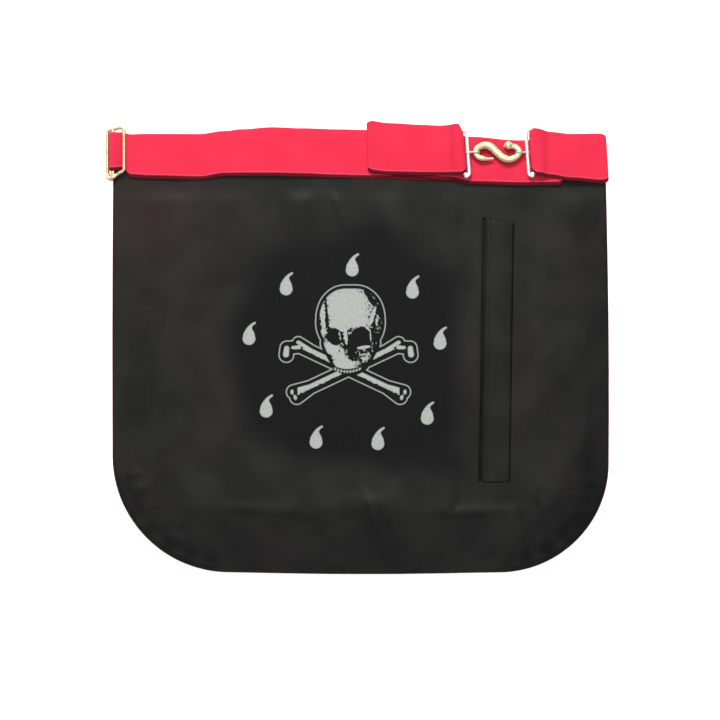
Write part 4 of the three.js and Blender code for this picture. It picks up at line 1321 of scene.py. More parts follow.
@dataclass(frozen=True)
class Belt:
    """The red webbing: its sizes, its levels and its two straps."""

    body: ClothBody
    gap: float = 0.3 * MM
    width: float = 40 * MM
    thickness: float = 1.3 * MM
    step: float = 1.8 * MM
    fold_radius: float = 1.2 * MM
    fold_run: float = 12 * MM
    left_sewn: float = 46 * MM
    right_sewn: float = 20 * MM
    first_fold_inset: float = 36.2 * MM
    second_fold_inset: float = 196 * MM
    right_overhang: float = 0.3 * MM
    tab_length: float = 10 * MM
    slider_wire: float = 3.0 * MM
    slider_inset: float = -0.2 * MM
    slider_right_bar: float = 9.3 * MM
    loop_wire: float = 3.0 * MM
    loop_bar_spacing: float = 5.7 * MM
    loop_lean: float = 4.2
    loop_skew: float = 2 * MM
    loop_drop: float = 0.8 * MM
    loop_pass_width: float = 0.79
    clasp_right_inset: float = 90 * MM
    clasp_raise: float = 1.7 * MM
    eye_wire: float = 1.6 * MM
    eye_reach: float = 6.3 * MM
    hook_length: float = 36 * MM
    hook_curl_wire: float = 4 * MM
    before_turn: float = 2 * MM
    after_turn: float = 3 * MM
    settle_run: float = 11 * MM
    slant_run: float = 30 * MM
    tab_fall: float = 8 * MM
    beside_fold: float = 4 * MM
    waver: float = 0.18 * MM
    crown: float = 0.3 * MM
    ruffle: float = 0.2 * MM
    corner: float = 4.6 * MM
    selvedge: float = 3.4 * MM
    selvedge_thinning: float = 0.62
    section_points: int = 24

    @property
    def layer(self) -> float:
        """Height from one layer of webbing to the next."""
        return self.thickness + self.gap

    @property
    def first(self) -> float:
        """Middle of the lowest layer."""
        return self.body.level + self.gap + self.thickness / 2

    @property
    def second(self) -> float:
        """Middle of the second layer."""
        return self.first + self.layer

    @property
    def tab(self) -> float:
        """Middle of the tabs that come back under the clasp loops."""
        return self.second + self.layer

    @property
    def over_tab(self) -> float:
        """Middle of the webbing above the tabs."""
        return self.tab + self.layer

    @property
    def eye_half(self) -> float:
        """Half height of a clasp eye's middle line."""
        return self.hook_curl_wire / 2 + self.gap + self.eye_wire / 2

    @property
    def clasp_level(self) -> float:
        """Height of the clasp's middle plane."""
        return self.second + self.thickness / 2 + self.gap + self.eye_half + self.eye_wire / 2

    @property
    def clasp_x(self) -> float:
        """Middle of the clasp across."""
        return self.body.right - self.clasp_right_inset

    @property
    def clasp_y(self) -> float:
        """Middle of the clasp up."""
        return self.body.belt_y + self.clasp_raise

    @property
    def clasp_half(self) -> float:
        """From the clasp's middle to a loop's visible bar."""
        return self.hook_length / 2 + self.eye_reach

    @property
    def slider_x(self) -> float:
        """The slider's middle bar."""
        return self.body.left + self.slider_inset

    @property
    def slider_turn(self) -> float:
        """Radius of the webbing's middle round the slider's bar."""
        return self.slider_wire / 2 + self.gap + self.thickness / 2

    @property
    def slider_level(self) -> float:
        """Height of the slider's middle bar."""
        return self.first + self.slider_turn

    @property
    def loop_turn(self) -> float:
        """Radius of the webbing's middle round a loop's hidden bar."""
        return self.loop_wire / 2 + 2 * self.gap + self.thickness / 2

    def stations(self, table: Sequence[Station], x: Field) -> dict[str, Field]:
        """Read a table at places across, with each column eased from row to row.

        Args:
            table: The rows, from left to right.
            x: Places across.

        Returns:
            The middle's y, the width's share, the rise and the roll.
        """
        at = np.array([row.at for row in table])
        share = np.clip((x - self.body.middle_x) / self.body.width, at[0], at[-1])
        index = np.clip(np.searchsorted(at, share) - 1, 0, len(at) - 2)
        t = ease((share - at[index]) / (at[index + 1] - at[index]), 0.0, 1.0)
        columns = {}
        for name in ("offset", "width", "rise", "roll"):
            values = np.array([getattr(row, name) for row in table])
            columns[name] = mix(values[index], values[index + 1], t)
        columns["y"] = self.body.belt_y + columns.pop("offset") * self.width
        return columns

    def run(self, table: Sequence[Station], start: float, end: float, level: Callable[[Field], Field],
            fold: Optional[Fold] = None, held: Optional[tuple[float, float]] = None) -> dict[str, Field]:
        """A stretch of webbing from one place across to another.

        Args:
            table: Its stations.
            start: Where it starts.
            end: Where it ends.
            level: Its height at places across.
            fold: The fold that it leads to or from, which rounds its corners.
            held: Its middle's y and its width's share where a loop squeezes it.

        Returns:
            The stretch's columns.
        """
        x = np.linspace(start, end, max(3, round(abs(end - start) / self.step)))
        row = {"x": x, "z": level(x) + 0 * x, **self.stations(table, x)}
        if held is not None:
            row["y"] = 0 * x + held[0]
            row["width"] = 0 * x + held[1]
        return self.cornered(row, fold)

    def turn(self, table: Sequence[Station], x: float, z: float, radius: float, start: float, end: float,
             fold: Optional[Fold] = None, held: Optional[tuple[float, float]] = None) -> dict[str, Field]:
        """A turn about (x, z), from one angle to another in degrees from +X towards +Z. Where a loop
        squeezes it, it narrows within the first third of the turn.

        Args:
            table: Its stations.
            x: Its middle across.
            z: Its middle's height.
            radius: Its radius.
            start: First angle.
            end: Last angle.
            fold: The fold that it makes.
            held: Its middle's y and its width's share where a loop squeezes it.

        Returns:
            The turn's columns.
        """
        share = np.linspace(0.0, 1.0, 21)
        angle = np.radians(mix(start, end, share))
        row = self.stations(table, np.full(share.size, x))
        if held is not None:
            squeeze = ease(share, 0.0, 1 / 3)
            row["y"] = mix(row["y"], held[0], squeeze)
            row["width"] = mix(row["width"], held[1], squeeze)
        row["x"] = x + radius * np.cos(angle)
        row["z"] = z + radius * np.sin(angle)
        return self.cornered(row, fold)

    def cornered(self, row: dict[str, Field], fold: Optional[Fold]) -> dict[str, Field]:
        """Add how far a fold's rounded corner narrows each side, and how far its end slants. The
        corner is a quarter circle: r - sqrt(r² - (r - d)²) at the distance d from the fold's end."""
        row["cut"] = 0 * row["x"]
        row["slant"] = 0 * row["x"]
        if fold is not None:
            distance = np.clip((fold.end - row["x"]) * fold.facing, 0.0, None)
            inside = np.clip(self.corner - distance, 0.0, self.corner)
            row["cut"] = self.corner - np.sqrt(np.maximum(self.corner**2 - inside**2, 0.0))
            row["slant"] = math.tan(math.radians(fold.slant)) * (1 - ease(distance, 0.0, self.slant_run))
        return row

    def passage(self, towards: int) -> tuple[float, float]:
        """Middle and width share of the webbing where it passes through a loop, whose snake lies to
        its right where towards is 1."""
        lean = towards * self.loop_bar_spacing * math.sin(math.radians(self.loop_lean))
        rise = (self.loop_skew - lean) * (1 - self.loop_turn / self.loop_bar_spacing)
        return self.clasp_y - self.loop_drop + rise, self.loop_pass_width

    def join(self, parts: Sequence[dict[str, Field]]) -> dict[str, Field]:
        """Join stretches and turns into one path at even steps, and soften it where they meet.

        Args:
            parts: The stretches and turns in order.

        Returns:
            The path's columns, with the length along it.
        """
        names = ("x", "y", "z", "width", "roll", "cut", "slant")
        whole = {name: np.concatenate([part[name] for part in parts]) for name in names}
        steps = np.hypot(np.diff(whole["x"]), np.diff(whole["z"]))
        keep = np.r_[True, steps > 1e-5]
        whole = {name: column[keep] for name, column in whole.items()}
        length = np.r_[0.0, np.cumsum(np.hypot(np.diff(whole["x"]), np.diff(whole["z"])))]
        fine = self.step / 4
        even = np.linspace(0.0, length[-1], int(length[-1] / fine))
        path = {name: np.interp(even, length, column) for name, column in whole.items()}
        for name in names:
            window = 3 if name in ("x", "z", "cut") else 9
            kernel = np.hanning(window + 2)[1:-1]
            padded = np.pad(path[name], window // 2, mode="edge")
            path[name] = np.convolve(padded, kernel / kernel.sum(), mode="valid")
        path["along"] = even
        return path

    def strap(self, name: str, path: dict[str, Field], node: str, seed: int) -> None:
        """Sweep the webbing's section along a path: a slightly crowned strip with round edges, which
        thins towards its lower selvedge and leans with the clasp loops where it turns round them.

        Args:
            name: The piece's name.
            path: The path's columns.
            node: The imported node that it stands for.
            seed: Seed of its unevenness.
        """
        tangent = np.column_stack([np.gradient(path["x"]), np.gradient(path["z"])])
        tangent /= np.linalg.norm(tangent, axis=1, keepdims=True)
        edge = self.thickness / 2
        count = self.section_points
        # Points crowd towards both edges, as the sine of even steps
        flat = np.sin(np.pi / 2 * np.linspace(1.0, -1.0, count))
        arc = np.linspace(0.0, np.pi, 9)[1:-1]
        ends = np.ones(arc.size)
        side = np.r_[flat, -ends, -flat, ends]
        bulge = np.r_[0 * flat, -np.sin(arc), 0 * flat, np.sin(arc)] * edge
        lift = np.r_[0 * flat + 1, np.cos(arc), 0 * flat - 1, -np.cos(arc)] * edge
        along = path["along"]
        waver = self.waver * cloudy(along[:, None], side[None, :] * 8 * MM, 22 * MM, seed + 5, 3)
        half = path["width"] * self.width / 2 - path["cut"]
        lateral = (half[:, None] - edge) * side + bulge + waver * side**3
        crown = self.crown * (1 - side**2)
        ruffle = self.ruffle * cloudy(along[:, None], side[None, :] * 20 * MM, 30 * MM, seed, 2)
        ruffle = ruffle * (1 - side**8)
        below = lateral + half[:, None]
        above = half[:, None] - lateral
        up = np.where(tangent[:, :1] >= 0, 1.0, -1.0)
        # Near the lower selvedge the face that looks up comes down towards the one beneath it
        thin = self.selvedge_thinning * np.clip(1 - below / self.selvedge, 0.0, 1.0) ** 1.6
        out = -up * edge + (lift[None, :] + up * edge) * (1 - thin * np.abs(tangent[:, :1]))
        # The crown bends the whole strap, so it goes one way on both of its faces: up
        out = out + up * (crown + ruffle) * np.abs(tangent[:, :1])
        beyond = np.abs(path["x"] - self.clasp_x) - self.clasp_half - self.loop_bar_spacing
        lean = 1 - ease(beyond, self.before_turn, self.tab_length)
        lean = lean * math.tan(math.radians(self.loop_lean))
        x = path["x"][:, None] - out * tangent[:, 1:] - lateral * (lean + path["slant"])[:, None]
        y = path["y"][:, None] + lateral
        z = path["z"][:, None] + out * tangent[:, :1] - side * path["roll"][:, None]
        shell = Shell()
        shell.rings(np.stack([x, y, z], axis=-1), False, along=np.broadcast_to(along[:, None], x.shape),
                    below=below, above=above)
        obj = shell.piece(name, RibbedWebbing(), [node])

    def long_path(self) -> dict[str, Field]:
        """Lead the long strap from its sewn end through the slider, right, back, and to the clasp."""
        sewn_end = self.body.left + self.left_sewn
        first_fold = self.body.right - self.first_fold_inset
        second_fold = self.body.right - self.second_fold_inset
        bar = self.clasp_x - self.clasp_half - self.loop_bar_spacing
        under_bar = self.slider_x + self.slider_right_bar - self.slider_wire / 2
        tab_end = bar - self.tab_length
        radius = self.fold_radius
        before, after = self.before_turn, self.after_turn

        def lower(x: Field) -> Field:
            """Settle from the second layer to the first, and follow the rises."""
            settled = ease(x, sewn_end + self.gap, sewn_end + 2 * self.settle_run)
            return mix(self.second, self.first, settled) + self.stations(LOWER_RUN, x)["rise"]

        def middle(x: Field) -> Field:
            """Rise towards the first fold."""
            raised = ease(x, first_fold - radius - self.fold_run, first_fold)
            return mix(self.second, self.first + 2 * radius, raised)

        def upper(x: Field) -> Field:
            """Sink from the second fold, then climb over the tab to the loop."""
            sunk = ease(x, second_fold, second_fold + self.fold_run)
            flat = mix(self.second + 2 * radius, self.tab, sunk)
            raised = mix(flat, self.over_tab, ease(x, tab_end - self.fold_run, tab_end - self.gap))
            risen = ease(x, tab_end - self.gap, bar - self.loop_wire)
            return mix(raised, self.clasp_level + self.loop_turn, risen)

        def back(x: Field) -> Field:
            """Fall from the left loop to the tab."""
            return self.tab_level(bar - x)

        one = Fold(first_fold + self.thickness / 2, 1, 0.0)
        two = Fold(second_fold - self.thickness / 2, -1, 1.7)
        held = self.passage(1)
        return self.join([
            self.run(LOWER_RUN, sewn_end, self.slider_x + before, lambda x: self.first),
            self.turn(LOWER_RUN, self.slider_x, self.slider_level, self.slider_turn, 270, 66),
            self.run(LOWER_RUN, under_bar, sewn_end, lambda x: self.second),
            self.run(LOWER_RUN, sewn_end + self.settle_run / 2, first_fold - radius - before, lower, one),
            self.turn(MIDDLE_RUN, first_fold - radius, self.first + radius, radius, -90, 90, one),
            self.run(MIDDLE_RUN, first_fold - radius - after, self.clasp_x, middle, one),
            self.run(MIDDLE_RUN, self.clasp_x, second_fold + radius + after, middle, two),
            self.turn(UPPER_RUN, second_fold + radius, self.second + radius, radius, 270, 90, two),
            self.run(UPPER_RUN, second_fold + radius + after, bar - before, upper, two),
            self.turn(UPPER_RUN, bar, self.clasp_level, self.loop_turn, 90, -90, None, held),
            self.run(UPPER_RUN, bar - after, tab_end, back, None, held),
        ])

    def tab_level(self, distance: Field) -> Field:
        """Height of a tab by its distance from its loop's hidden bar."""
        return mix(self.clasp_level - self.loop_turn, self.tab, ease(distance, 0.0, self.tab_fall))

    def short_path(self) -> dict[str, Field]:
        """Lead the short strap from its sewn end out, back over itself, and to the clasp."""
        fold_x = self.body.right + self.right_overhang - self.thickness / 2
        radius = self.fold_radius * 1.4
        bar = self.clasp_x + self.clasp_half + self.loop_bar_spacing
        tab_end = bar + self.tab_length
        first_fold = self.body.right - self.first_fold_inset
        before, after = self.before_turn, self.after_turn

        def level(x: Field) -> Field:
            """Fall from the loop to the layer over the tab, and on towards the fold."""
            sunk = ease(x, first_fold + self.beside_fold, fold_x - radius)
            high = mix(self.over_tab, self.first + 2 * radius, sunk)
            lowered = ease(x, bar + self.loop_wire, tab_end + self.loop_wire)
            return mix(self.clasp_level + self.loop_turn, high, lowered)

        def back(x: Field) -> Field:
            """Fall from the right loop to the tab."""
            return self.tab_level(x - bar)

        end = Fold(fold_x + self.thickness / 2, 1, 3.6)
        sewn = self.body.right - self.right_sewn
        held = self.passage(-1)
        return self.join([
            self.run(RIGHT_RUN, sewn, fold_x - radius - before, lambda x: self.first, end),
            self.turn(RIGHT_RUN, fold_x - radius, self.first + radius, radius, -90, 90, end),
            self.run(RIGHT_RUN, fold_x - radius - after, bar + before, level, end),
            self.turn(RIGHT_RUN, bar, self.clasp_level, self.loop_turn, 90, 270, None, held),
            self.run(RIGHT_RUN, bar + after, tab_end, back, None, held),
        ])

    def build(self) -> None:
        """Make both straps."""
        self.strap("long_webbing_strap", self.long_path(), "long_strap", 41)
        self.strap("short_webbing_strap", self.short_path(), "short_strap", 47)


# Wire hardware


def rounded_frame(width: float, left: float, right: float, corner: float, skew: float) -> Field:
    """Middle line of a rounded frame: four quarter circles joined by straight sides.

    Args:
        width: Spacing of its two bars.
        left: Height of the left side.
        right: Height of the right side.
        corner: Radius of the corners.
        skew: How far the right side stands above the left one.

    Returns:
        Points anticlockwise from the upper right corner, in the XY plane.
    """
    side = width / 2 - corner
    corners = (
        (side, (right + skew) / 2 - corner, 0),
        (-side, (left - skew) / 2 - corner, 90),
        (-side, -(left + skew) / 2 + corner, 180),
        (side, -(right - skew) / 2 + corner, 270),
    )
    parts = []
    for x, y, start in corners:
        angle = np.radians(np.linspace(start, start + 90, 12))
        parts.append(np.column_stack([x + corner * np.cos(angle), y + corner * np.sin(angle)]))
    ring = np.vstack([*parts, parts[0][:1]])
    length = np.r_[0.0, np.cumsum(np.linalg.norm(np.diff(ring, axis=0), axis=1))]
    even = np.linspace(0.0, length[-1], 180, endpoint=False)
    return np.column_stack([np.interp(even, length, ring[:, 0]), np.interp(even, length, ring[:, 1])])


@dataclass(frozen=True)
class Slider:
    """The gilt slider: a bent wire frame with a bar across its middle."""

    belt: Belt
    left_height: float = 40 * MM
    right_height: float = 36.5 * MM
    left_bar: float = 4.8 * MM
    skew: float = 3.6 * MM
    corner: float = 3 * MM
    raised: float = 1.7 * MM
    lap_share: float = 0.42
    lap_reach: tuple[float, float] = (2.5 * MM, 6 * MM)

    def build(self) -> None:
        """Make the frame and the bar in the slider's plane, then tilt them about the bar."""
        belt = self.belt
        width = self.left_bar + belt.slider_right_bar
        share = self.left_bar / width
        ring = rounded_frame(width, self.left_height, self.right_height, self.corner, self.skew)
        ring = ring + np.array([belt.slider_right_bar - width / 2, -self.skew * (share - 0.5)])
        right_level = belt.second + belt.thickness / 2 + 1.5 * belt.gap + belt.slider_wire / 2
        tilt = math.atan2(right_level - belt.slider_level, belt.slider_right_bar)
        turn = np.array(Matrix.Rotation(-tilt, 3, "Y"))
        origin = np.array([belt.slider_x, belt.body.belt_y + self.raised, belt.slider_level])
        frame = np.column_stack([ring, np.zeros(len(ring))]) @ turn.T + origin
        up = turn @ np.array([0.0, 0.0, 1.0])
        # The wire's two ends overlap in the lower left corner, which makes it thicker there
        lap = np.hypot(ring[:, 0] - ring[:, 0].min() - self.corner, ring[:, 1] - ring[:, 1].min())
        radius = belt.slider_wire / 2 * (1 + self.lap_share * (1 - ease(lap, *self.lap_reach)))
        shell = Shell()
        shell.tube(frame, radius, up, closed=True)
        height = mix(self.left_height, self.right_height, share)
        bar = np.column_stack([np.zeros(30), np.linspace(-height / 2, height / 2, 30), np.zeros(30)])
        shell.tube(bar + origin, belt.slider_wire / 2, up)
        shell.piece("gilt_slider", PlatedWire(), ["slider"])


@dataclass(frozen=True)
class SnakeClasp:
    """The clasp: two nickel loops with eyes, and the gilt snake that hooks into them."""

    belt: Belt
    loop_height: float = 37.8 * MM
    loop_corner: float = 3.2 * MM
    hook_height: float = 11.4 * MM
    hook_wire: float = 7.0 * MM
    curl_width: float = 5.2 * MM
    bead_length: float = 3.0 * MM
    bead_rise: float = 0.35 * MM
    scale_rows: int = 58
    scale_turns: int = 5
    scale_rise: float = 0.07
    eye_row: int = 400
    eye_radius: float = 0.5 * MM

    def loop(self, name: str, node: str, towards: int) -> None:
        """Make a loop with its eye.

        Args:
            name: The piece's name.
            node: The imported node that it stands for.
            towards: 1 where the snake lies to the right of the loop, -1 where it lies to the left.
        """
        belt = self.belt
        ring = rounded_frame(belt.loop_bar_spacing, self.loop_height, self.loop_height, self.loop_corner,
                             -towards * belt.loop_skew)
        ring = ring + np.array([-towards * belt.loop_bar_spacing / 2, belt.loop_skew / 2 - belt.loop_drop])
        lean = math.radians(belt.loop_lean)
        turn = np.array([[math.cos(lean), -math.sin(lean)], [math.sin(lean), math.cos(lean)]])
        ring = ring @ turn.T
        origin = np.array([belt.clasp_x - towards * belt.clasp_half, belt.clasp_y, belt.clasp_level])
        shell = Shell()
        shell.tube(np.column_stack([ring, np.zeros(len(ring))]) + origin, belt.loop_wire / 2, closed=True)
        root = belt.loop_wire / 2 - belt.eye_wire / 2
        angle = np.radians(np.linspace(-90, 90, 25))
        arc = belt.eye_half * np.column_stack([np.cos(angle), np.sin(angle)]) + (belt.eye_reach, 0.0)
        line = np.vstack([[0.0, -root], arc, [0.0, root]])
        eye = np.column_stack([towards * line[:, 0], np.zeros(len(line)), line[:, 1]]) + origin
        shell.tube(spline(eye, 90), belt.eye_wire / 2, up=(0.0, towards, 0.0), sides=18)
        # A bead of solder where the eye meets the bar
        bead = np.linspace(-1.0, 1.0, 15)
        path = origin + np.column_stack([0 * bead, bead * self.bead_length / 2, 0 * bead])
        shell.tube(path, belt.loop_wire / 2 + self.bead_rise * np.sqrt(np.maximum(1 - bead**2, 0.0)))
        # The third colour is the painted shade on the sides and underside of the wire.
        nickel = PlatedWire(name="nickel_plated_steel", slot=Slot.NICKEL, main="#fffdfb", worn="#f6f1ee",
                            side_shade_colour="#d9d2cd", roughness=0.6)
        shell.piece(name, nickel, [node])

    def line(self) -> Field:
        """Middle line of the snake from tail to head, through points given as shares of half its size."""
        shares = np.array([
            (-0.19, -0.88), (-0.5, -0.92), (-0.86, -0.66), (-1.0, 0.04), (-0.9, 0.66), (-0.58, 1.0),
            (-0.26, 0.66), (0.0, -0.1), (0.26, -0.75), (0.55, -1.0), (0.85, -0.62), (1.0, 0.06),
            (0.84, 0.7), (0.5, 0.96), (0.26, 0.9),
        ])
        half = np.array([self.belt.hook_length, self.hook_height]) / 2
        points = np.column_stack([shares * half, np.zeros(len(shares))])
        return spline(points, 420) + np.array([self.belt.clasp_x, self.belt.clasp_y, self.belt.clasp_level])

    def hook(self) -> None:
        """Sculpt the snake: a scaled body that thins at its curls, a tail and a flattened head."""
        path = self.line()
        t = np.linspace(0.0, 1.0, len(path))
        thin, thick = self.curl_width / 2, self.hook_wire / 2
        body = mix(thin, thick, ease(0.5 - np.abs(t - 0.5), 0.22, 0.42))
        tail = mix(0.34, 1.0, ease(t, 0.0, 0.14))
        head = 1 + 0.42 * bell(t, 0.945, 0.022) - 0.78 * ease(t, 0.955, 1.0) ** 2
        neck = 1 - 0.12 * bell(t, 0.895, 0.018)
        radius = body * tail * head * neck
        sides = 40
        angle = np.linspace(0.0, 2 * np.pi, sides, endpoint=False)
        round_body = self.scale_turns * angle[None, :]
        down_body = self.scale_rows * np.pi * t[:, None]
        diamonds = np.cos(round_body + down_body) * np.cos(round_body - down_body)
        fade = ease(t, 0.04, 0.12) * (1 - ease(t, 0.88, 0.91))
        brow = 0.12 * bell(t[:, None], 0.952, 0.012) * np.abs(np.cos(angle[None, :])) ** 3
        mouth = -0.1 * ease(t, 0.95, 0.965)[:, None] * bell(np.sin(angle[None, :]), 0.0, 0.16)
        swell = radius[:, None] * (self.scale_rise * diamonds * fade[:, None] + brow + mouth)
        flatten = self.belt.hook_curl_wire / self.curl_width
        shell = Shell()
        shell.tube(path, radius, sides=sides, swell=swell, flatten=flatten)
        row = self.eye_row
        heading = path[row + 4] - path[row - 4]
        heading /= np.linalg.norm(heading)
        sideways = np.cross((0.0, 0.0, 1.0), heading)
        globe = np.linspace(-1.0, 1.0, 9)
        for side in (-1, 1):
            place = path[row] + radius[row] * (0.62 * side * sideways + (0.0, 0.0, 0.72))
            eye = place + np.column_stack([globe * 0, globe * 0, globe * self.eye_radius])
            wide = self.eye_radius * np.sqrt(np.maximum(1.02 - globe**2, 0.0))
            shell.tube(eye, wide, up=heading, sides=12)
        shell.piece("gilt_snake_hook", PlatedWire(), ["snake_hook"])

    def build(self) -> None:
        """Make both loops and the snake."""
        self.loop("nickel_loop_left", "clasp_loop_left", 1)
        self.loop("nickel_loop_right", "clasp_loop_right", -1)
        self.hook()


# The printed emblem


class Tone(NamedTuple):
    """A soft oval of light on the skull, or of shade where light is negative: its middle and half
    sizes in mm about the skull's middle, and its turn in degrees."""

    x: float
    y: float
    wide: float
    tall: float
    turn: float
    light: float


class Limb(NamedTuple):
    """A rounded stroke: its two ends and the radius at each, in mm."""

    x0: float
    y0: float
    x1: float
    y1: float
    r0: float
    r1: float


TONES = (
    Tone(-2.2, 20.0, 19.0, 17.0, 0, 1.9),
    Tone(-10.0, 5.0, 9.0, 6.0, 10, 1.0),
    Tone(8.0, 5.5, 9.5, 5.0, -12, 0.9),
    Tone(-23.2, 14.0, 1.8, 13.0, 8, 1.8),
    Tone(-23.2, -5.0, 1.5, 8.5, -4, 1.6),
    Tone(-19.7, 17.0, 0.9, 11.5, 5, -2.0),
    Tone(-19.0, 8.0, 1.8, 5.0, 0, -1.0),
    Tone(17.0, 25.5, 1.8, 8.5, 38, -1.6),
    Tone(18.8, 13.5, 1.3, 8.5, -16, 1.3),
    Tone(21.8, 8.0, 0.9, 5.0, -10, 0.9),
    Tone(-12.6, -4.7, 8.3, 8.8, 0, 1.0),
    Tone(-12.8, -4.6, 5.6, 6.3, 12, -4.8),
    Tone(-8.9, -4.4, 1.0, 3.6, 10, 3.8),
    Tone(9.0, -5.0, 6.4, 7.2, -10, -4.0),
    Tone(14.0, 1.6, 3.2, 0.6, -42, 3.4),
    Tone(16.4, -4.6, 0.6, 4.0, 4, 3.2),
    Tone(10.8, -13.6, 5.0, 1.2, 8, 4.0),
    Tone(-3.8, -4.5, 1.2, 7.5, 6, 1.9),
    Tone(0.6, -14.5, 2.6, 8.5, 4, -2.8),
    Tone(-15.0, -15.3, 8.6, 4.4, -30, 1.8),
    Tone(-9.0, -21.5, 5.8, 6.5, 22, 1.5),
    Tone(-9.3, -16.8, 0.9, 1.6, 10, -2.0),
    Tone(-5.2, -28.4, 8.6, 4.2, 0, 1.8),
    Tone(12.0, -21.0, 5.0, 3.4, 30, 0.55),
    Tone(6.0, -27.5, 4.0, 3.4, 10, 0.55),
)

# The right half of the skull's outline from the crown to the jaw, as shares of its size
SKULL_HALF = (
    (0.0, 0.5), (0.13, 0.5), (0.23, 0.482), (0.33, 0.435), (0.42, 0.36), (0.48, 0.25), (0.5, 0.14),
    (0.497, 0.04), (0.465, -0.045), (0.425, -0.1), (0.43, -0.16), (0.4, -0.225), (0.35, -0.29),
    (0.29, -0.37), (0.22, -0.44), (0.11, -0.492), (0.0, -0.5),
)

# A bone along x about the crossing, with its upper end to the right
BONE = (
    Limb(-38.0, 0.0, 42.0, 0.3, 3.3, 3.3),
    Limb(-34.0, 0.0, -48.6, 2.3, 3.2, 3.5),
    Limb(-34.0, 0.0, -48.0, -2.7, 3.2, 3.5),
    Limb(36.0, 0.6, 46.5, 2.4, 3.2, 2.7),
    Limb(43.0, 0.6, 52.0, -4.6, 3.1, 3.0),
    Limb(53.2, -5.4, 51.2, -10.8, 3.3, 3.6),
)

# The lit lumps at its ends
LUMPS = (
    Limb(41.0, 2.6, 46.8, 2.9, 2.0, 1.8),
    Limb(44.6, -0.6, 48.8, -3.0, 1.7, 1.5),
    Limb(53.4, -5.8, 51.7, -10.6, 2.3, 2.5),
    Limb(-50.4, 3.2, -50.2, 3.0, 2.1, 2.1),
    Limb(-50.2, -1.8, -49.8, -2.4, 2.2, 2.1),
)

# A tear about the middle of its bulb, up to its hooked tip
TEAR = (
    Limb(0.0, 0.0, 0.0, 2.4, 5.4, 4.9),
    Limb(0.0, 2.4, 0.05, 4.6, 4.9, 3.9),
    Limb(0.05, 4.6, 0.15, 6.6, 3.9, 2.9),
    Limb(0.15, 6.6, 0.5, 8.4, 2.9, 2.05),
    Limb(0.5, 8.4, 1.3, 10.0, 2.05, 1.5),
    Limb(1.3, 10.0, 2.5, 11.3, 1.5, 1.2),
    Limb(2.5, 11.3, 4.8, 12.8, 1.2, 1.0),
)


def strokes(x: Field, y: Field, limbs: Sequence[Limb]) -> Field:
    """Distance to the nearest of some rounded strokes: to the nearest point of each one's middle
    line, less the radius there.

    Args:
        x: Places across.
        y: Places up.
        limbs: The strokes.

    Returns:
        The distances, negative inside.
    """
    nearest = np.full(np.shape(x), 1.0)
    for limb in limbs:
        run, rise = limb.x1 - limb.x0, limb.y1 - limb.y0
        dx, dy = x / MM - limb.x0, y / MM - limb.y0
        share = np.clip((dx * run + dy * rise) / (run**2 + rise**2), 0.0, 1.0)
        beyond = np.hypot(dx - run * share, dy - rise * share) - mix(limb.r0, limb.r1, share)
        nearest = np.minimum(nearest, beyond * MM)
    return nearest


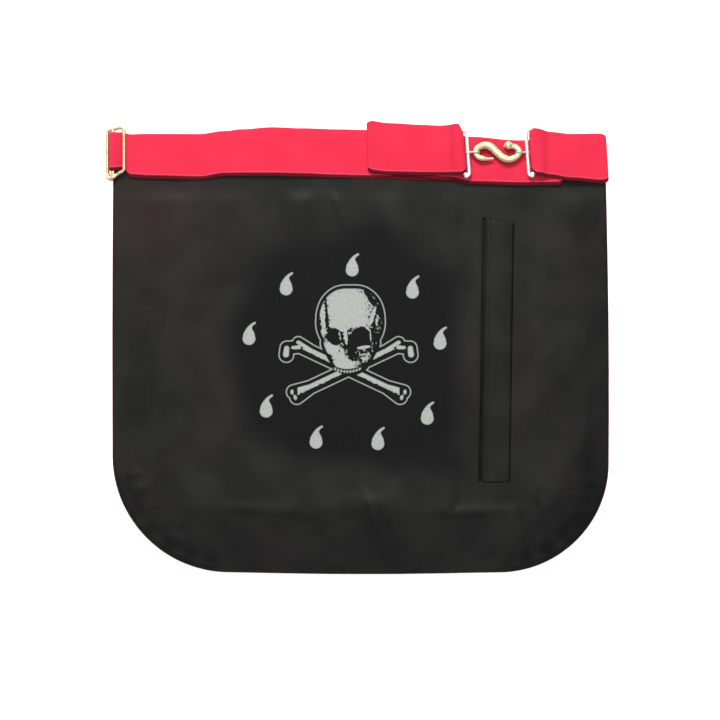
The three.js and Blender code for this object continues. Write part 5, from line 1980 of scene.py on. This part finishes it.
@dataclass(frozen=True)
class Emblem:
    """The printed skull, crossed bones and tears, drawn as fields that are negative under ink."""

    body: ClothBody
    tears: int = 9
    tear_reach: float = 18 * MM
    bulb: tuple[float, float] = (5.5 * MM, 4.8 * MM)
    skull_width: float = 52 * MM
    skull_height: float = 70 * MM
    skull_raise: float = 24 * MM
    skull_shift: float = 2.8 * MM
    shade: float = -0.46
    grain: float = 1.35
    grain_size: float = 1.5 * MM
    fade: float = 1.2 * MM
    inner_edge: float = 0.5 * MM
    jaw_x: float = -2.5 * MM
    jaw_low: float = -33.6 * MM
    jaw_rise: float = 3.0 * MM
    jaw_reach: float = 11.8 * MM
    tooth_pitch: float = 2.5 * MM
    tooth: float = 1.0 * MM
    bone_shift: float = 1.2 * MM
    bone_drop: float = 7.8 * MM
    bone_angle: float = 25.0
    shaft_end: float = 41 * MM
    shaft_foot: float = 46.5 * MM
    shaft_shade: float = 1.3 * MM
    ragged: float = 0.8 * MM
    ragged_cell: float = 2.2 * MM
    bone_inner: float = 0.7 * MM
    skull_clear: float = 1.5 * MM
    halo_gap: float = 2.45 * MM
    halo_line: float = 1.15 * MM
    reach: tuple[float, float] = (66 * MM, 68 * MM)
    pixel: float = 0.25 * MM
    lift: float = 0.1 * MM
    rim: float = 0.9 * MM

    def ink(self, name: str, low: Sequence[float], high: Sequence[float],
            field: Callable[[Field, Field], Field], node: str) -> None:
        """Cut a flat film where a field is negative. Grid cells under ink are kept, and the corners
        at their border are drawn onto the field's zero line along its slope.

        Args:
            name: The piece's name.
            low: Lowest corner of the drawing.
            high: Highest corner of the drawing.
            field: Height of the field at places across and up.
            node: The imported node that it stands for.
        """
        columns = int((high[0] - low[0]) / self.pixel)
        rows = int((high[1] - low[1]) / self.pixel)
        x, y = np.meshgrid(np.linspace(low[0], high[0], columns), np.linspace(low[1], high[1], rows))
        value = field(x, y)
        slope_y, slope_x = np.gradient(value, y[1, 0] - y[0, 0], x[0, 1] - x[0, 0])
        cell = (value[:-1, :-1] + value[1:, :-1] + value[:-1, 1:] + value[1:, 1:]) / 4
        inked = cell < 0
        around = np.pad(inked, 1)
        touching = around[:-1, :-1].astype(int) + around[1:, :-1] + around[:-1, 1:] + around[1:, 1:]
        border = (touching > 0) & (touching < 4)
        steep = np.maximum(slope_x**2 + slope_y**2, 1e-6)
        for place, slope in ((x, slope_x), (y, slope_y)):
            move = np.clip(-value * slope / steep, -0.7 * self.pixel, 0.7 * self.pixel)
            place += np.where(border, move, 0.0)
        quads = lattice_quads(rows, columns)[inked.ravel()]
        used, quads = np.unique(quads, return_inverse=True)
        x, y = x.ravel()[used], y.ravel()[used]
        z = self.body.level + self.body.relief(x, y) + self.lift
        edge = 1 - ease(-value.ravel()[used], 0.0, self.rim)
        shell = Shell()
        shell.add(np.column_stack([x, y, z]), quads.reshape(-1, 4), None, edge=edge)
        shell.piece(name, TransferInk(), [node])

    def skull(self, x: Field, y: Field) -> Field:
        """Distance to the skull's outline. A table holds how far the outline reaches in each
        direction; the excess over that reach, times the cosine of the outline's slant, is the distance.

        Args:
            x: Places across, about the skull's middle.
            y: Places up.

        Returns:
            The distances, negative inside.
        """
        half = np.array(SKULL_HALF) * (self.skull_width, self.skull_height)
        directions = np.linspace(-np.pi / 2, np.pi / 2, 200)
        known = np.arctan2(half[::-1, 1], half[::-1, 0])
        reaches = np.interp(directions, known, np.hypot(half[::-1, 0], half[::-1, 1]))
        kernel = np.hanning(13)[1:-1]
        reaches = np.convolve(np.pad(reaches, 5, mode="reflect"), kernel / kernel.sum(), mode="valid")
        towards = np.arctan2(y, np.abs(x))
        reach = np.interp(towards, directions, reaches)
        slope = np.interp(towards, directions, np.gradient(reaches, directions))
        return (np.hypot(x, y) - reach) * reach / np.hypot(reach, slope)

    def skull_ink(self, x: Field, y: Field) -> Field:
        """Inked parts of the skull: where its light and shade, broken up by grain, stay above zero,
        and a row of round teeth along the arc of its jaw.

        Args:
            x: Places across, about the skull's middle.
            y: Places up.

        Returns:
            The field, negative under ink.
        """
        light = self.shade + self.grain * cloudy(x, y, self.grain_size, 61, 3)
        for tone in TONES:
            angle = math.radians(tone.turn)
            dx, dy = x / MM - tone.x, y / MM - tone.y
            u = (dx * math.cos(angle) + dy * math.sin(angle)) / tone.wide
            v = (dy * math.cos(angle) - dx * math.sin(angle)) / tone.tall
            light = light + tone.light * (1 - ease(np.hypot(u, v), 0.5, 1.42))
        over = y - self.jaw_low - self.jaw_rise * ((x - self.jaw_x) / self.jaw_reach) ** 2
        face = np.maximum(-light * self.fade, self.skull(x, y) + self.inner_edge)
        face = np.maximum(face, 2 * self.tooth - over)
        beside = x - np.round(x / self.tooth_pitch) * self.tooth_pitch
        teeth = np.hypot(beside, 0.8 * over) - self.tooth
        teeth = np.maximum(teeth, np.abs(x - self.jaw_x) - self.jaw_reach)
        return np.minimum(face, teeth)

    def arms(self, x: Field, y: Field) -> Iterator[tuple[Field, Field]]:
        """Give the places along and across each of the two bones."""
        angle = math.radians(self.bone_angle)
        for side in (-1, 1):
            yield (side * x * math.cos(angle) + y * math.sin(angle),
                   y * math.cos(angle) - side * x * math.sin(angle))

    def bone_ink(self, x: Field, y: Field) -> Field:
        """Inked parts of the crossed bones: the upper side of each shaft and the lumps at its ends.

        Args:
            x: Places across, about the crossing.
            y: Places up.

        Returns:
            The field, negative under ink.
        """
        lit = np.full(np.shape(x), 1.0)
        for along, across in self.arms(x, y):
            uneven = self.ragged * cloudy(along, across, self.ragged_cell, 71, 3)
            bone = strokes(along, across, BONE) + self.bone_inner
            ends = np.maximum(along - self.shaft_end, -along - self.shaft_foot + 0.5 * across) + uneven
            shaft = np.maximum(-across - self.shaft_shade - uneven, ends)
            lumps = strokes(along, across, LUMPS) + 0.4 * uneven
            lit = np.minimum(lit, np.maximum(bone, np.minimum(shaft, lumps)))
        return lit

    def build(self) -> None:
        """Print the tears, the skull, and the bones with the halo line round them both."""
        for number in range(1, self.tears + 1):
            node = f"emblem_tear_{number}"
            bulb = np.array(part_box(node)[0][:2]) + self.bulb

            def tear(x: Field, y: Field, place: Field = bulb) -> Field:
                """One tear's distance about its bulb."""
                return strokes(x - place[0], y - place[1], TEAR)

            self.ink(f"tear_print_{number}", bulb - self.tear_reach / 2, bulb + self.tear_reach, tear, node)
        middle = np.array(self.body.print_centre)
        skull_x, skull_y = middle + (self.skull_shift, self.skull_raise)
        bones_x, bones_y = middle + (self.bone_shift, -self.bone_drop)

        def skull_print(x: Field, y: Field) -> Field:
            """The skull's ink at its place."""
            return self.skull_ink(x - skull_x, y - skull_y)

        def bones_print(x: Field, y: Field) -> Field:
            """The bones' ink outside the skull, and the halo line round both."""
            skull = self.skull(x - skull_x, y - skull_y)
            arms = [strokes(*arm, BONE) for arm in self.arms(x - bones_x, y - bones_y)]
            whole = np.min([skull, *arms], axis=0)
            halo = np.abs(whole - self.halo_gap) - self.halo_line / 2
            lit = np.maximum(self.bone_ink(x - bones_x, y - bones_y), self.skull_clear - skull)
            return np.minimum(halo, lit)

        low, high = middle - self.reach, middle + self.reach
        self.ink("skull_print", low, high, skull_print, "emblem_skull")
        self.ink("bones_print", low, high, bones_print, "emblem_bones")


def main() -> None:
    """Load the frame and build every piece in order."""
    logging.basicConfig(level=logging.INFO, format="%(name)s %(message)s")
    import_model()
    view = Overhead()
    view.camera()
    view.studio()
    low, high = (np.array(corner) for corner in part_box("back_panel"))
    pocket_low, pocket_high = (np.array(corner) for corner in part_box("pocket_welt"))
    body = ClothBody(low, high, pocket_low, pocket_high)
    body.build()
    GlovePocket(body).build()
    belt = Belt(body)
    belt.build()
    Slider(belt).build()
    SnakeClasp(belt).build()
    Emblem(body).build()
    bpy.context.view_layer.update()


if __name__ == "__main__":
    main()
